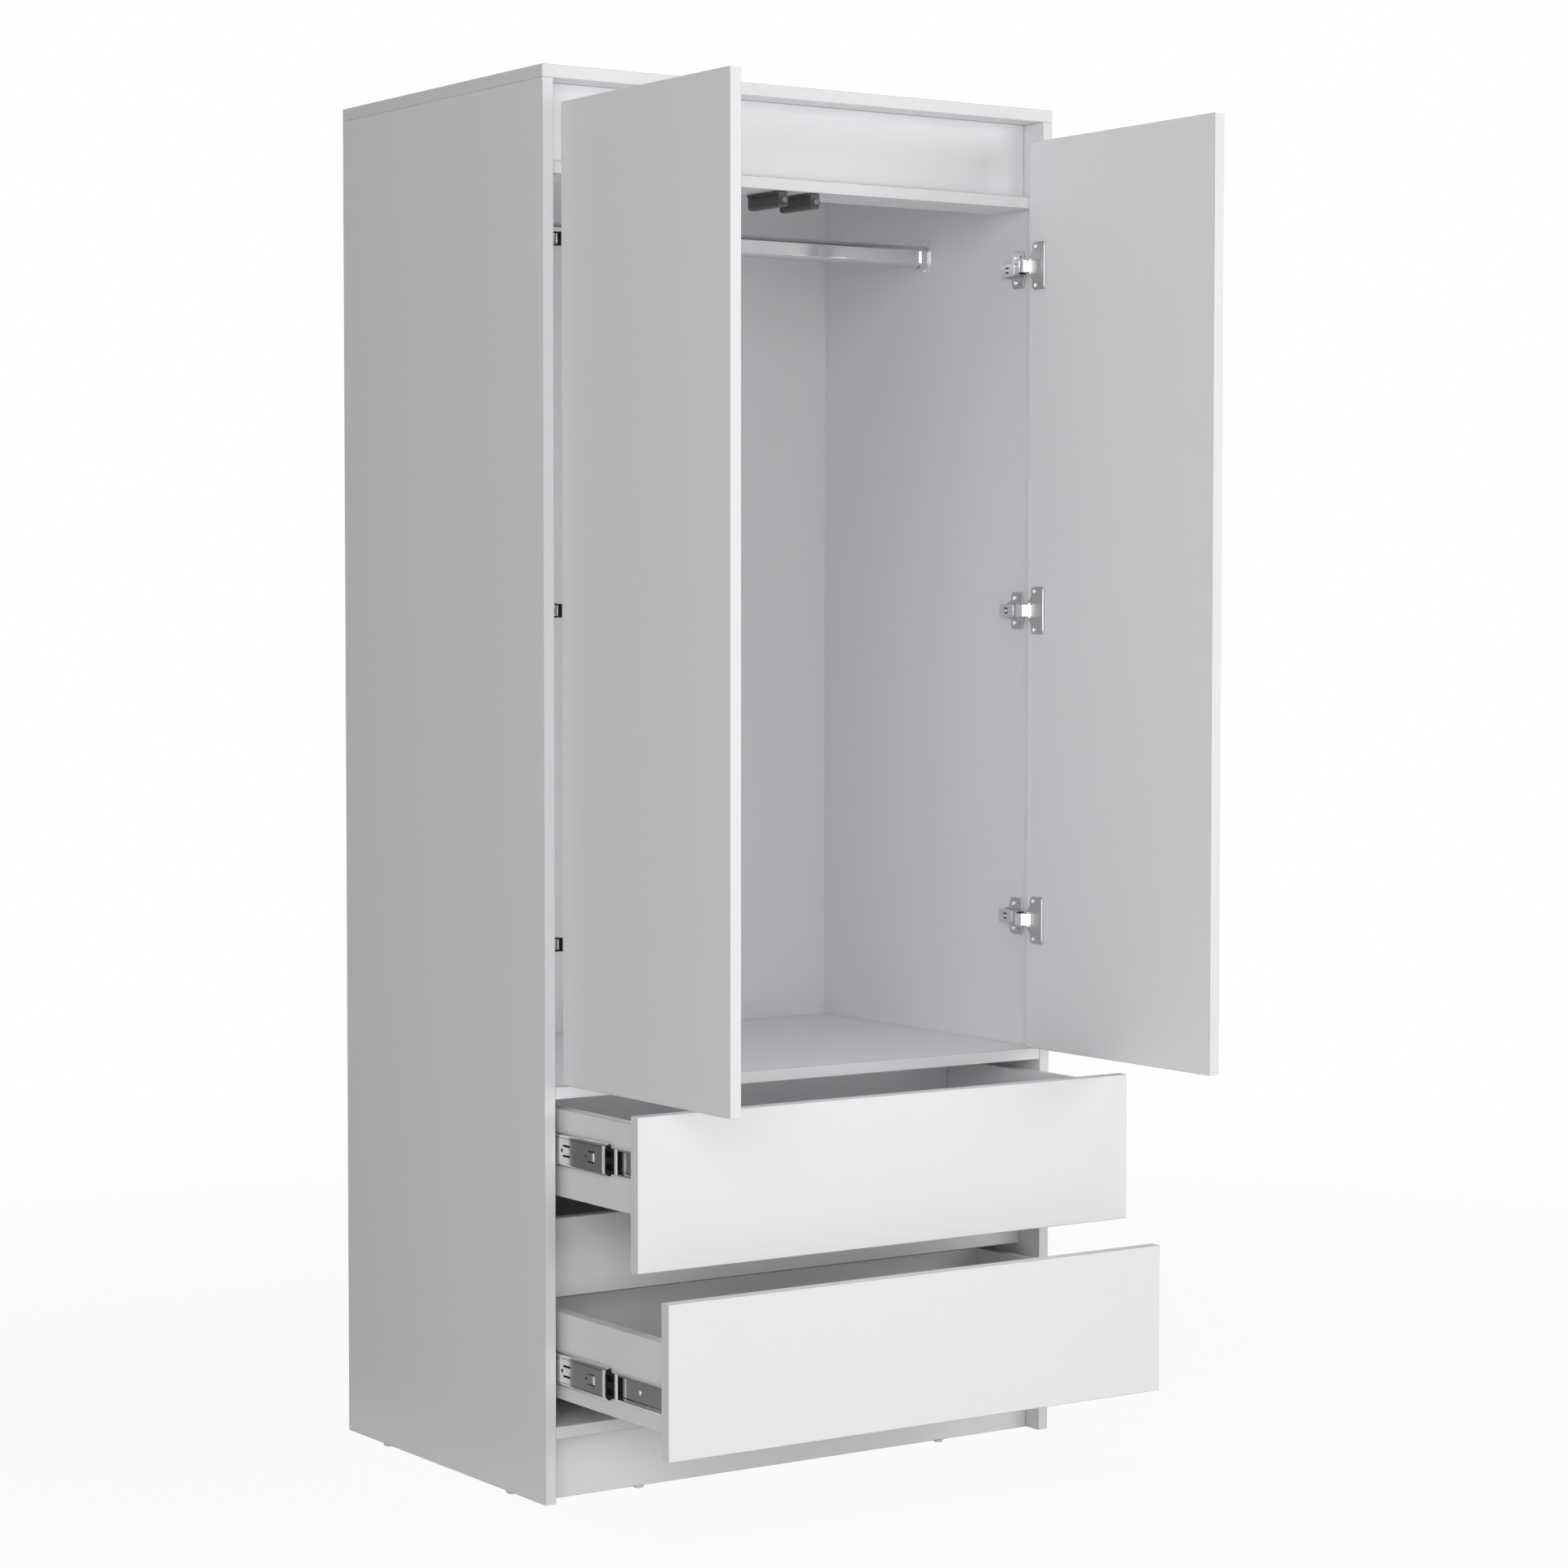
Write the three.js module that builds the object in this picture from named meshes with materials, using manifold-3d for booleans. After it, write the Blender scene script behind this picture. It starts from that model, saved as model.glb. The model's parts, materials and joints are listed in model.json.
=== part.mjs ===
// Free-standing wardrobe of 16 mm melamine board: a tall hanging space behind two inset doors,
// above two drawers on ball-bearing slides. Millimetres, +Z up, +X to the right, front towards -Y.
// It is modelled with its doors open at a right angle and its drawers part way out.

import * as THREE from 'three';
import { mergeVertices } from 'three/addons/utils/BufferGeometryUtils.js';
import Module from 'manifold-3d';

const wasm = await Module();
wasm.setup();

// ---- driving dimensions ----------------------------------------------------------------------

const width = 800;              // over the outer faces of the side panels
const depth = 530;              // front edge to back edge of the side panels
const height = 1800;            // underside of the side panels to the top face
const board = 16;               // thickness of every melamine board
const seam = 0.3;               // paper-thin joint between boards that touch
const easing = 0.7;             // small bevel along every board edge
const glideHeight = 4.3;        // how far the floor glides lift the boards
const glidePlaces = [99, 430];  // under each side panel, from the front plane
const glidePinHole = [1.8, 12]; // radius and depth

const plinthSetback = 28;
const bottomTop = 98;           // top face of the bottom board
const railSpan = [253, 354];    // height range of the board between the drawers
const railSetback = 45;
const floorTop = 528;           // top face of the wardrobe floor
const latchRailTop = 1684.5;      // top face of the narrow board that carries the push latches
const latchRailSetback = 20;
const latchRailDepth = 90;
const fasciaSetback = 42;
const backSheet = 3;            // thickness of the back sheet
const backFace = 515;           // front face of the back sheet, from the front plane
const grooveDepth = 6;

const doorSpan = [530.3, 1754.3];
const doorOpenAngle = Math.PI / 2;
const doorSideGap = 1.5;        // closed door to side panel
const doorMeetingGap = 2;       // between the two closed doors
const doorOpenFace = 25.15;     // outer side face to the open door's outer face
const doorReach = 384;          // how far the open doors stand out in front
const hingeHeights = { lower: 705, middle: 1124.5, upper: 1588 };
const cupRadius = 17.5;
const cupInset = 19.5;          // door's hinge edge to the centre of the cup
const cupDepth = 12.2;
const armPivot = [30.5, 22.5];  // link pivot on the arm, from the outer face and front plane
const channelHalf = 8.6;        // half the height of the folded arm

const rodCentre = [267, 1621.6];
const rodSection = [15, 30];    // oval hanging rod, depth by height
const rodWall = 1;
const rodEndGap = 3.5;          // rod's end to the side panel
const socketPlate = [29, 44, 2.6];            // depth, height and thickness of the oval plate
const socketCup = { slack: 0.4, rim: 2.2, rise: 8, length: 15 };

const latchSpacing = 50;
const latchBody = [22, 95];     // depth range of the push latch housings
const latchFlange = [19, 3.5];  // width and thickness of the flange that is screwed to the rail
const latchBarrel = [14, 20];   // width and drop of the barrel below the rail
const latchBore = [4.6, 44];
const plungerTip = 16.6;        // just clear of the closed door's inner face

const slideLength = 350;
const slideFront = 19.5;        // front end of the closed slides
const slideMembers = {          // x range from the outer face, half height, side the lips turn to
  cabinet: { from: 16.3, to: 26, half: 22.8, opens: 1 },
  middle: { from: 18.4, to: 27, half: 21, opens: 1 },
  drawer: { from: 21, to: 28.4, half: 17.5, opens: -1 },
};
const slideSheet = 1.2;
const boxClearance = 12.8;      // side panel to drawer box, filled by the slide
const boxDepth = 362;
const boxHeight = 111;
const drawerSideGap = 2;
const drawerBottom = 3;
const bottomInset = 10;         // underside of the box to its bottom sheet
const drawers = {
  upper: { front: [319, 511], boxBase: 387.5, slideHeight: 449.5, pulled: 190.4, middleShare: 0.714 },
  lower: { front: [100.8, 292.8], boxBase: 130, slideHeight: 171.5, pulled: 260.1, middleShare: 0.523 },
};

// ---- materials -------------------------------------------------------------------------------

const white = [0.88, 0.885, 0.895];
const finish = (rgb, roughness, metalness) =>
  () => new THREE.MeshStandardMaterial({ color: new THREE.Color(...rgb), roughness, metalness });
const melamine = finish(white, 0.42, 0);
const hardboard = finish([0.8, 0.805, 0.81], 0.55, 0);
const nickel = finish([0.62, 0.62, 0.63], 0.28, 1);
const zinc = finish([0.5, 0.51, 0.53], 0.36, 1);
const chrome = finish([0.78, 0.78, 0.8], 0.12, 1);
const darkPlastic = finish([0.09, 0.09, 0.095], 0.5, 0);
const palePlastic = finish([0.75, 0.75, 0.76], 0.45, 0);

// ---- geometry helpers ------------------------------------------------------------------------

// A closed geometry with shared corners, so that it can be mirrored, joined and cut.
function welded(geometry) {
  const bare = geometry.clone();
  bare.deleteAttribute('normal');
  bare.deleteAttribute('uv');
  return mergeVertices(bare, 1e-4);
}

function toSolid(geometry) {
  const closed = welded(geometry);
  return new wasm.Manifold(new wasm.Mesh({
    numProp: 3,
    vertProperties: new Float32Array(closed.attributes.position.array),
    triVerts: new Uint32Array(closed.index.array),
  }));
}

function toGeometry(solid) {
  const mesh = solid.getMesh();
  const geometry = new THREE.BufferGeometry();
  geometry.setAttribute('position', new THREE.BufferAttribute(mesh.vertProperties, 3));
  geometry.setIndex(new THREE.BufferAttribute(mesh.triVerts, 1));
  return geometry;
}

const joined = (...geometries) =>
  toGeometry(geometries.map(toSolid).reduce((whole, next) => whole.add(next)));

const cut = (geometry, ...tools) =>
  toGeometry(tools.map(toSolid).reduce((whole, tool) => whole.subtract(tool), toSolid(geometry)));

function mirrored(geometry) {
  const flipped = welded(geometry).scale(-1, 1, 1);
  const corners = flipped.index.array;
  for (let i = 0; i < corners.length; i += 3) {
    [corners[i], corners[i + 1]] = [corners[i + 1], corners[i]];
  }
  return flipped;
}

// A plain block between two limits on each axis.
function block([x0, x1], [y0, y1], [z0, z1]) {
  return new THREE.BoxGeometry(x1 - x0, y1 - y0, z1 - z0)
    .translate((x0 + x1) / 2, (y0 + y1) / 2, (z0 + z1) / 2);
}

// A board between two limits on each axis, with every edge eased by a small bevel.
function easedBoard([x0, x1], [y0, y1], [z0, z1], ease = easing) {
  const outline = new THREE.Shape([
    [x0 + ease, y0], [x1 - ease, y0], [x1, y0 + ease], [x1, y1 - ease],
    [x1 - ease, y1], [x0 + ease, y1], [x0, y1 - ease], [x0, y0 + ease],
  ].map(([x, y]) => new THREE.Vector2(x, y)));
  return new THREE.ExtrudeGeometry(outline, {
    depth: z1 - z0 - 2 * ease,
    bevelThickness: ease,
    bevelSize: ease,
    bevelOffset: -ease,
    bevelSegments: 1,
  }).translate(0, 0, z0 + ease);
}

// A prism standing on z: points are [x, y] pairs.
function prism(points, [z0, z1]) {
  const outline = new THREE.Shape(points.map(([x, y]) => new THREE.Vector2(x, y)));
  return new THREE.ExtrudeGeometry(outline, { depth: z1 - z0, bevelEnabled: false })
    .translate(0, 0, z0);
}

// A prism lying along +X: the outline is drawn as [y, z] pairs or as a THREE.Shape.
function prismAlongX(outline, [x0, x1], curveSegments = 6) {
  const shape = Array.isArray(outline)
    ? new THREE.Shape(outline.map(([y, z]) => new THREE.Vector2(y, z))) : outline;
  return new THREE.ExtrudeGeometry(shape, { depth: x1 - x0, bevelEnabled: false, curveSegments })
    .rotateX(Math.PI / 2).rotateZ(Math.PI / 2).translate(x0, 0, 0);
}

// A prism lying along +Y: points are [x, z] pairs.
function prismAlongY(points, [y0, y1]) {
  const outline = new THREE.Shape(points.map(([x, z]) => new THREE.Vector2(x, -z)));
  return new THREE.ExtrudeGeometry(outline, { depth: y1 - y0, bevelEnabled: false })
    .rotateX(-Math.PI / 2).translate(0, y0, 0);
}

// A solid of revolution: the profile holds [radius, distance along the axis] pairs.
function turned(profile, sides) {
  return new THREE.LatheGeometry(profile.map(([r, along]) => new THREE.Vector2(r, along)), sides);
}

// An upright oval with round ends, drawn as [y, z].
function ovalPath(path, centreY, centreZ, wide, tall) {
  const r = wide / 2;
  const reach = tall / 2 - r;
  path.absarc(centreY, centreZ + reach, r, 0, Math.PI, false);
  path.absarc(centreY, centreZ - reach, r, Math.PI, 2 * Math.PI, false);
  path.closePath();
  return path;
}

// ---- scene graph helpers ---------------------------------------------------------------------

const wardrobe = new THREE.Group();
wardrobe.position.set(0, (doorReach - depth) / 2, glideHeight);

function add(parent, name, geometry, material) {
  const mesh = new THREE.Mesh(geometry, material());
  mesh.name = name;
  parent.add(mesh);
  return mesh;
}

// A left piece drawn with x measured inwards from the outer side face, and its mirror image.
function addPair(parents, nameOf, geometry, material) {
  const left = add(parents.left, nameOf('left'), geometry, material);
  left.position.x = -width / 2;
  const right = add(parents.right, nameOf('right'), mirrored(geometry), material);
  right.position.x = width / 2;
}

const both = (group) => ({ left: group, right: group });

// ---- carcass ---------------------------------------------------------------------------------

const inside = width / 2 - board;             // half the width between the side panels
const between = [seam - inside, inside - seam];
const topUnderside = height - board;
const panelBack = backFace - seam;

function makeCarcass() {
  const carcass = new THREE.Group();
  const groove = [backFace - seam, backFace + backSheet + seam];
  const [holeRadius, holeDepth] = glidePinHole;
  const glideHoles = glidePlaces.map((y) =>
    turned([[0, -1], [holeRadius, -1], [holeRadius, holeDepth], [0, holeDepth]], 10)
      .rotateX(Math.PI / 2).translate(board / 2, y, 0));
  const side = cut(
    easedBoard([0, board], [0, depth], [0, topUnderside - seam]),
    block([board - grooveDepth, board + 1], groove, [bottomTop - board - 1, height]),
    ...glideHoles,
  );
  addPair(both(carcass), (hand) => `${hand}_side_panel`, side, melamine);

  const top = cut(
    easedBoard([-width / 2, width / 2], [0, depth], [topUnderside, height]),
    block([-inside - grooveDepth, inside + grooveDepth], groove,
      [topUnderside - 1, topUnderside + grooveDepth]),
  );
  add(carcass, 'top_panel', top, melamine);

  const boards = {
    bottom_panel: { y: [0, panelBack], z: [bottomTop - board, bottomTop] },
    plinth: { y: [plinthSetback, plinthSetback + board], z: [0, bottomTop - board - seam] },
    drawer_rail: { y: [railSetback, railSetback + board], z: railSpan },
    wardrobe_floor: { y: [0, panelBack], z: [floorTop - board, floorTop] },
    latch_rail: {
      y: [latchRailSetback, latchRailSetback + latchRailDepth],
      z: [latchRailTop - board, latchRailTop],
    },
    top_fascia: { y: [fasciaSetback, fasciaSetback + board], z: [latchRailTop + seam, topUnderside - seam] },
  };
  for (const [name, { y, z }] of Object.entries(boards)) {
    add(carcass, name, easedBoard(between, y, z), melamine);
  }

  const sheetReach = inside + grooveDepth - 1;
  const sheet = block([-sheetReach, sheetReach], [backFace, backFace + backSheet],
    [bottomTop - board, topUnderside + grooveDepth - 1]);
  add(carcass, 'back_panel', sheet, hardboard);
  return carcass;
}

// Nail-in floor glides: a flat-bottomed dome with a short pin, two under each side panel.
function makeGlides() {
  const glides = new THREE.Group();
  const profile = [
    [0, -glideHeight], [4.5, -glideHeight], [6.2, -3.6], [7, -2.2], [7, -1], [6, -seam],
    [1.2, -seam], [1.2, 7], [0, 9],
  ];
  glidePlaces.forEach((y, i) => {
    const glide = turned(profile, 20).rotateX(Math.PI / 2).translate(board / 2, y, 0);
    addPair(both(glides), (hand) => `${hand}_${i ? 'rear' : 'front'}_glide`, glide, palePlastic);
  });
  return glides;
}

// ---- hanging rod -----------------------------------------------------------------------------

function makeHangingRod() {
  const rail = new THREE.Group();
  const [y, z] = rodCentre;
  const [wide, tall] = rodSection;
  const tube = ovalPath(new THREE.Shape(), y, z, wide, tall);
  tube.holes.push(ovalPath(new THREE.Path(), y, z, wide - 2 * rodWall, tall - 2 * rodWall));
  const rodEnd = inside - rodEndGap;
  add(rail, 'hanging_rod', prismAlongX(tube, [-rodEnd, rodEnd], 8), chrome);

  // The socket is an oval plate with a cup round the rod that is open at the top.
  const [plateWide, plateTall, plateThick] = socketPlate;
  const { slack, rim, rise, length } = socketCup;
  const plate = ovalPath(new THREE.Shape(), y, z, plateWide, plateTall);
  const cupInner = wide / 2 + slack;
  const cupOuter = cupInner + rim;
  const low = z - tall / 2 + wide / 2;
  const cup = new THREE.Shape();
  cup.moveTo(y + cupOuter, z + rise);
  cup.lineTo(y + cupInner, z + rise);
  cup.lineTo(y + cupInner, low);
  cup.absarc(y, low, cupInner, 0, -Math.PI, true);
  cup.lineTo(y - cupInner, z + rise);
  cup.lineTo(y - cupOuter, z + rise);
  cup.lineTo(y - cupOuter, low);
  cup.absarc(y, low, cupOuter, Math.PI, 2 * Math.PI, false);
  cup.closePath();
  const start = board + seam;
  const socket = joined(prismAlongX(plate, [start, start + plateThick], 8),
    prismAlongX(cup, [start + plateThick - 0.1, start + length], 8));
  addPair(both(rail), (hand) => `${hand}_rod_socket`, socket, chrome);
  return rail;
}

// ---- push latches ----------------------------------------------------------------------------

// Drawn about its own centre line: x across, z up, depth from the front plane.
const latchAxis = latchRailTop - board - 12;

function latchHousing() {
  const [front, back] = latchBody;
  const top = latchRailTop - board - seam;
  const [flangeWide, flangeThick] = latchFlange;
  const reach = latchBarrel[0] / 2;
  const low = top - latchBarrel[1];
  const [boreRadius, boreDepth] = latchBore;
  const flange = block([-flangeWide / 2, flangeWide / 2], [front + 3, back], [top - flangeThick, top]);
  const barrel = prismAlongY([
    [-reach, top - 3], [-reach, low + 2.5], [2 - reach, low],
    [reach - 2, low], [reach, low + 2.5], [reach, top - 3],
  ], [front, back - 4]);
  const bore = turned([[0, front - 1], [boreRadius, front - 1],
    [boreRadius, front + boreDepth], [0, front + boreDepth]], 20).translate(0, 0, latchAxis);
  return cut(joined(flange, barrel), bore);
}

function latchPlunger() {
  const start = plungerTip;
  const profile = [
    [0, start], [2.6, start], [4, start + 1.4], [4.2, start + 3], [4.2, start + 36], [0, start + 36],
  ];
  return turned(profile, 20).translate(0, 0, latchAxis);
}

function makeLatches() {
  const latches = new THREE.Group();
  for (const [hand, side] of [['left', -1], ['right', 1]]) {
    const x = side * latchSpacing / 2;
    add(latches, `${hand}_latch_housing`, latchHousing(), darkPlastic).position.x = x;
    add(latches, `${hand}_latch_plunger`, latchPlunger(), palePlastic).position.x = x;
  }
  return latches;
}

// ---- cup hinges ------------------------------------------------------------------------------

// The arm and its mounting plate, drawn with x from the outer side face and z from its centre.
function hingeArm() {
  const face = board + seam;
  const plate = prismAlongX([
    [37, -8], [40, -25], [61, -25], [63.6, -22], [63.6, -8], [76, -8],
    [76, 8], [63.6, 8], [63.6, 22], [61, 25], [40, 25], [37, 8],
  ], [face, face + 2.6]);
  const saddle = block([face + 2, face + 6.5], [40, 75], [-6.5, 6.5]);
  const nose = prism([
    [22, 45], [24, 30], [27.5, 20.8], [31.5, 19.6], [33.6, 23], [32.4, 33], [31, 45],
  ], [-5, 5]);
  const channel = prism([
    [20.5, 78.6], [20.5, 46], [22.8, 34], [31.8, 34], [30.6, 50], [28.4, 66], [26.6, 78.6],
  ], [-channelHalf, channelHalf]);
  return joined(plate, saddle, nose, channel);
}

// The link between arm and cup: two ears on the arm's nose and a cranked plate over the cup.
function hingeLink() {
  const [px, py] = armPivot;
  const ear = [[-2.6, 1.6], [-2.2, -2.4], [5, -8.5], [9.4, -6.4], [2.4, 2.6], [-1, 3.2]]
    .map(([x, y]) => [px + x, py + y]);
  const plate = [
    [35.6, 14.6], [39.4, 10.2], [43.8, 4.6], [45.6, 0], [45.7, -3.4], [48.5, -3.4],
    [48.5, 0.6], [46.8, 6.6], [42.4, 12.8], [38.4, 17.2],
  ];
  return joined(prism(plate, [-8.6, 8.6]), prism(ear, [5.4, 8.6]), prism(ear, [-8.6, -5.4]));
}

// The cup and its flange, drawn on the closed door: u along the door from its hinge edge,
// v through the door from its outer face, z from the hinge's centre.
function hingeCup() {
  const face = board + seam;
  const flangeTop = face + 1.9;
  const cup = turned([
    [0, board - cupDepth + seam], [cupRadius - seam, board - cupDepth + seam],
    [cupRadius - seam, face + 1], [0, face + 1],
  ], 32).translate(cupInset, 0, 0);
  const flange = prism([
    [37, -32], [37, 32], [13, 32], [9.5, 29], [9.5, 19], [2.6, 11],
    [2.6, -11], [9.5, -19], [9.5, -29], [13, -32],
  ].map(([u, z]) => [u, -z]), [0, flangeTop - face]).rotateX(-Math.PI / 2).translate(0, face, 0);
  const ridge = block([30.5, 36], [flangeTop - 0.4, flangeTop + 1.1], [-29, 29]);
  const knuckle = block([2.9, 8.4], [face, 20.5], [-8.6, 8.6]);
  const pocket = block([8.4, 20.5], [board - cupDepth + 2, flangeTop + 2], [-8.8, 8.8]);
  return cut(joined(cup, flange, ridge, knuckle), pocket);
}

const doorWidth = inside - doorSideGap - doorMeetingGap / 2;
const hingeEdge = board + doorSideGap;        // closed door's hinge edge, from the outer face

// The axis each door turns about, from the outer face and the front plane. It carries the closed
// door's outer face from flush with the front to doorOpenFace, and its free edge to -doorReach.
const closedMeetingEdge = hingeEdge + doorWidth;
const doorAxis = [
  (doorOpenFace + closedMeetingEdge - doorReach) / 2,
  (closedMeetingEdge - doorReach - doorOpenFace) / 2,
];

function makeHingeArms() {
  const arms = new THREE.Group();
  for (const [level, z] of Object.entries(hingeHeights)) {
    const nameOf = (hand) => `${hand}_${level}_hinge_arm`;
    addPair(both(arms), nameOf, hingeArm().translate(0, 0, z), nickel);
  }
  const nameOf = (hand) => `${hand}_middle_hinge_link`;
  addPair(both(arms), nameOf, hingeLink().translate(0, 0, hingeHeights.middle), nickel);
  return arms;
}

// Each door hangs in a group placed on its axis and turned open; its pieces are drawn closed.
function makeDoors() {
  const doors = new THREE.Group();
  const leaf = {};
  for (const [hand, side] of [['left', -1], ['right', 1]]) {
    const pivot = new THREE.Group();
    const pivotX = side * (width / 2 - doorAxis[0]);
    pivot.position.set(pivotX, doorAxis[1], 0);
    pivot.rotation.z = side * doorOpenAngle;
    const content = new THREE.Group();
    content.position.set(-pivotX, -doorAxis[1], 0);
    pivot.add(content);
    doors.add(pivot);
    leaf[hand] = content;
  }
  const bores = Object.values(hingeHeights).map((z) =>
    turned([[0, board - cupDepth], [cupRadius, board - cupDepth], [cupRadius, board + 2],
      [0, board + 2]], 32).translate(hingeEdge + cupInset, 0, z));
  const door = cut(easedBoard([hingeEdge, hingeEdge + doorWidth], [0, board], doorSpan), ...bores);
  addPair(leaf, (hand) => `${hand}_door`, door, melamine);
  for (const [level, z] of Object.entries(hingeHeights)) {
    const cup = hingeCup().translate(hingeEdge, 0, z);
    addPair(leaf, (hand) => `${hand}_${level}_hinge_cup`, cup, nickel);
  }
  return doors;
}

// ---- drawers ---------------------------------------------------------------------------------

// One member of a three-part slide: a channel whose lips turn towards +x or -x.
function slideMember({ from, to, half, opens }, z) {
  const outline = opens > 0
    ? [[from, -half], [to, -half], [to, -half + slideSheet], [from + slideSheet, -half + slideSheet],
      [from + slideSheet, half - slideSheet], [to, half - slideSheet], [to, half], [from, half]]
    : [[to, half], [from, half], [from, half - slideSheet], [to - slideSheet, half - slideSheet],
      [to - slideSheet, -half + slideSheet], [from, -half + slideSheet], [from, -half], [to, -half]];
  return prismAlongY(outline, [slideFront, slideFront + slideLength]).translate(0, 0, z);
}

// A drawer, drawn closed, in a group that is then pulled out.
function makeDrawer(level, { front, boxBase, slideHeight, pulled, middleShare }) {
  const runner = new THREE.Group();
  const middle = new THREE.Group();
  middle.position.y = -pulled * middleShare;
  const drawer = new THREE.Group();
  drawer.position.y = -pulled;
  runner.add(middle, drawer);

  const half = inside - boxClearance;           // half the outer width of the box
  const top = boxBase + boxHeight;
  const sheetLow = boxBase + bottomInset;
  const grooveSpan = [sheetLow - seam, sheetLow + drawerBottom + seam];
  const boxFront = board + seam;
  const boxBack = board + boxDepth;
  const halfFront = inside - drawerSideGap;

  const facing = cut(easedBoard([-halfFront, halfFront], [0, board], front),
    block([-half, half], [board - grooveDepth, board + 1], grooveSpan));
  add(drawer, `${level}_drawer_front`, facing, melamine);

  const outer = board + boxClearance;           // box side's outer face, from the outer side face
  const side = cut(easedBoard([outer, outer + board], [boxFront, boxBack], [boxBase, top]),
    block([outer + board - grooveDepth, outer + board + 1], [0, boxBack + 1], grooveSpan));
  addPair(both(drawer), (hand) => `${level}_drawer_${hand}_side`, side, melamine);

  const innerHalf = half - board - seam;
  const back = easedBoard([-innerHalf, innerHalf], [boxBack - board, boxBack],
    [sheetLow + drawerBottom + seam, top]);
  add(drawer, `${level}_drawer_back`, back, melamine);

  const sheetHalf = half - board + grooveDepth - 1;
  const sheet = block([-sheetHalf, sheetHalf], [board - grooveDepth + 1, boxBack],
    [sheetLow, sheetLow + drawerBottom]);
  add(drawer, `${level}_drawer_bottom`, sheet, hardboard);

  const holders = { cabinet: runner, middle, drawer };
  for (const [member, holder] of Object.entries(holders)) {
    const channel = slideMember(slideMembers[member], slideHeight);
    addPair(both(holder), (hand) => `${level}_${hand}_slide_${member}_member`, channel, zinc);
  }
  return runner;
}

// ---- assembly --------------------------------------------------------------------------------

wardrobe.add(makeCarcass(), makeGlides(), makeHangingRod(), makeLatches(), makeHingeArms(), makeDoors());
for (const [level, sizes] of Object.entries(drawers)) {
  wardrobe.add(makeDrawer(level, sizes));
}

export default wardrobe;
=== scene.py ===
import json
import math
import bmesh
import bpy
import numpy as np
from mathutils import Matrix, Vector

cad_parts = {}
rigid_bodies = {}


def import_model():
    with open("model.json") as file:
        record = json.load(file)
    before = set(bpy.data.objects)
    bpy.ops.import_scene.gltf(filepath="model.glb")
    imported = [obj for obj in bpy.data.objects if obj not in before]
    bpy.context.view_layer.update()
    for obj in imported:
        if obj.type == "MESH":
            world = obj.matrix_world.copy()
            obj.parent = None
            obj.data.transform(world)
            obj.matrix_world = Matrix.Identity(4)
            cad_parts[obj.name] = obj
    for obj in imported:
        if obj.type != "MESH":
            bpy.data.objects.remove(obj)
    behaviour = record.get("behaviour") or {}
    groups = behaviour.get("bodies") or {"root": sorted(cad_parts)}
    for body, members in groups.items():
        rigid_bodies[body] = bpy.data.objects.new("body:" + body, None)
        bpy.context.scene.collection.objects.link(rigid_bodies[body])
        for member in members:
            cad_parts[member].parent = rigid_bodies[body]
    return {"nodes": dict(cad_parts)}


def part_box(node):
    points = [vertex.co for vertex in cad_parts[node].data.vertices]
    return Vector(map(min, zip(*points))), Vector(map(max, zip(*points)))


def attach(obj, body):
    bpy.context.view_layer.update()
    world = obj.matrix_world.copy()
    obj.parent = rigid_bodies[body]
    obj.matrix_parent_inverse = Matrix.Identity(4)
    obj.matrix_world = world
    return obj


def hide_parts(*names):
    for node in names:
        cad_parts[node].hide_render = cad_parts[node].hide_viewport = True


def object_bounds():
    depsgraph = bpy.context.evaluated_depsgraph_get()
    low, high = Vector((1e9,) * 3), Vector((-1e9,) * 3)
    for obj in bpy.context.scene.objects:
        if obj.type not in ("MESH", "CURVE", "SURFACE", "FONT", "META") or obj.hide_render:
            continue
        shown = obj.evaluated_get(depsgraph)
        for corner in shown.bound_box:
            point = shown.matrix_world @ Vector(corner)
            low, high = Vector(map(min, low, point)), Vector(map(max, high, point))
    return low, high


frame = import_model()
for spare in [thing for thing in bpy.data.objects if thing.name in ("Cube", "Light", "Camera")]:
    bpy.data.objects.remove(spare)          # the startup file's own objects
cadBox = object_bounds()
mm = 0.001
hands = {"left": -1, "right": 1}      # which side of the wardrobe, as a sign along X
levels = ("lower", "middle", "upper")

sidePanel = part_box("left_side_panel")
halfWidth = -sidePanel[0].x
frontPlane = sidePanel[0].y
boardThickness = sidePanel[1].x - sidePanel[0].x


# camera, floor and light

viewpoint = {
    "lens": 86.848, "sensor": 36, "reach": 60,
    "turned": 34.141, "tipped": 2.700, "rolled": 0.035,     # degrees
    "offset": (-2.79478, -4.06465, 1.13096),      # from the foot of the front plane
}


def makeCamera():
    camera = bpy.data.objects.new("camera", bpy.data.cameras.new("camera"))
    camera.data.lens = viewpoint["lens"]
    camera.data.sensor_width = viewpoint["sensor"]
    camera.data.clip_end = viewpoint["reach"]
    across, away, up = viewpoint["offset"]
    camera.location = (across, frontPlane + away, sidePanel[0].z + up)
    tilt = math.radians(90 - viewpoint["tipped"])
    camera.rotation_euler = (tilt, -math.radians(viewpoint["rolled"]), -math.radians(viewpoint["turned"]))
    bpy.context.scene.collection.objects.link(camera)
    bpy.context.scene.camera = camera


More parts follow.
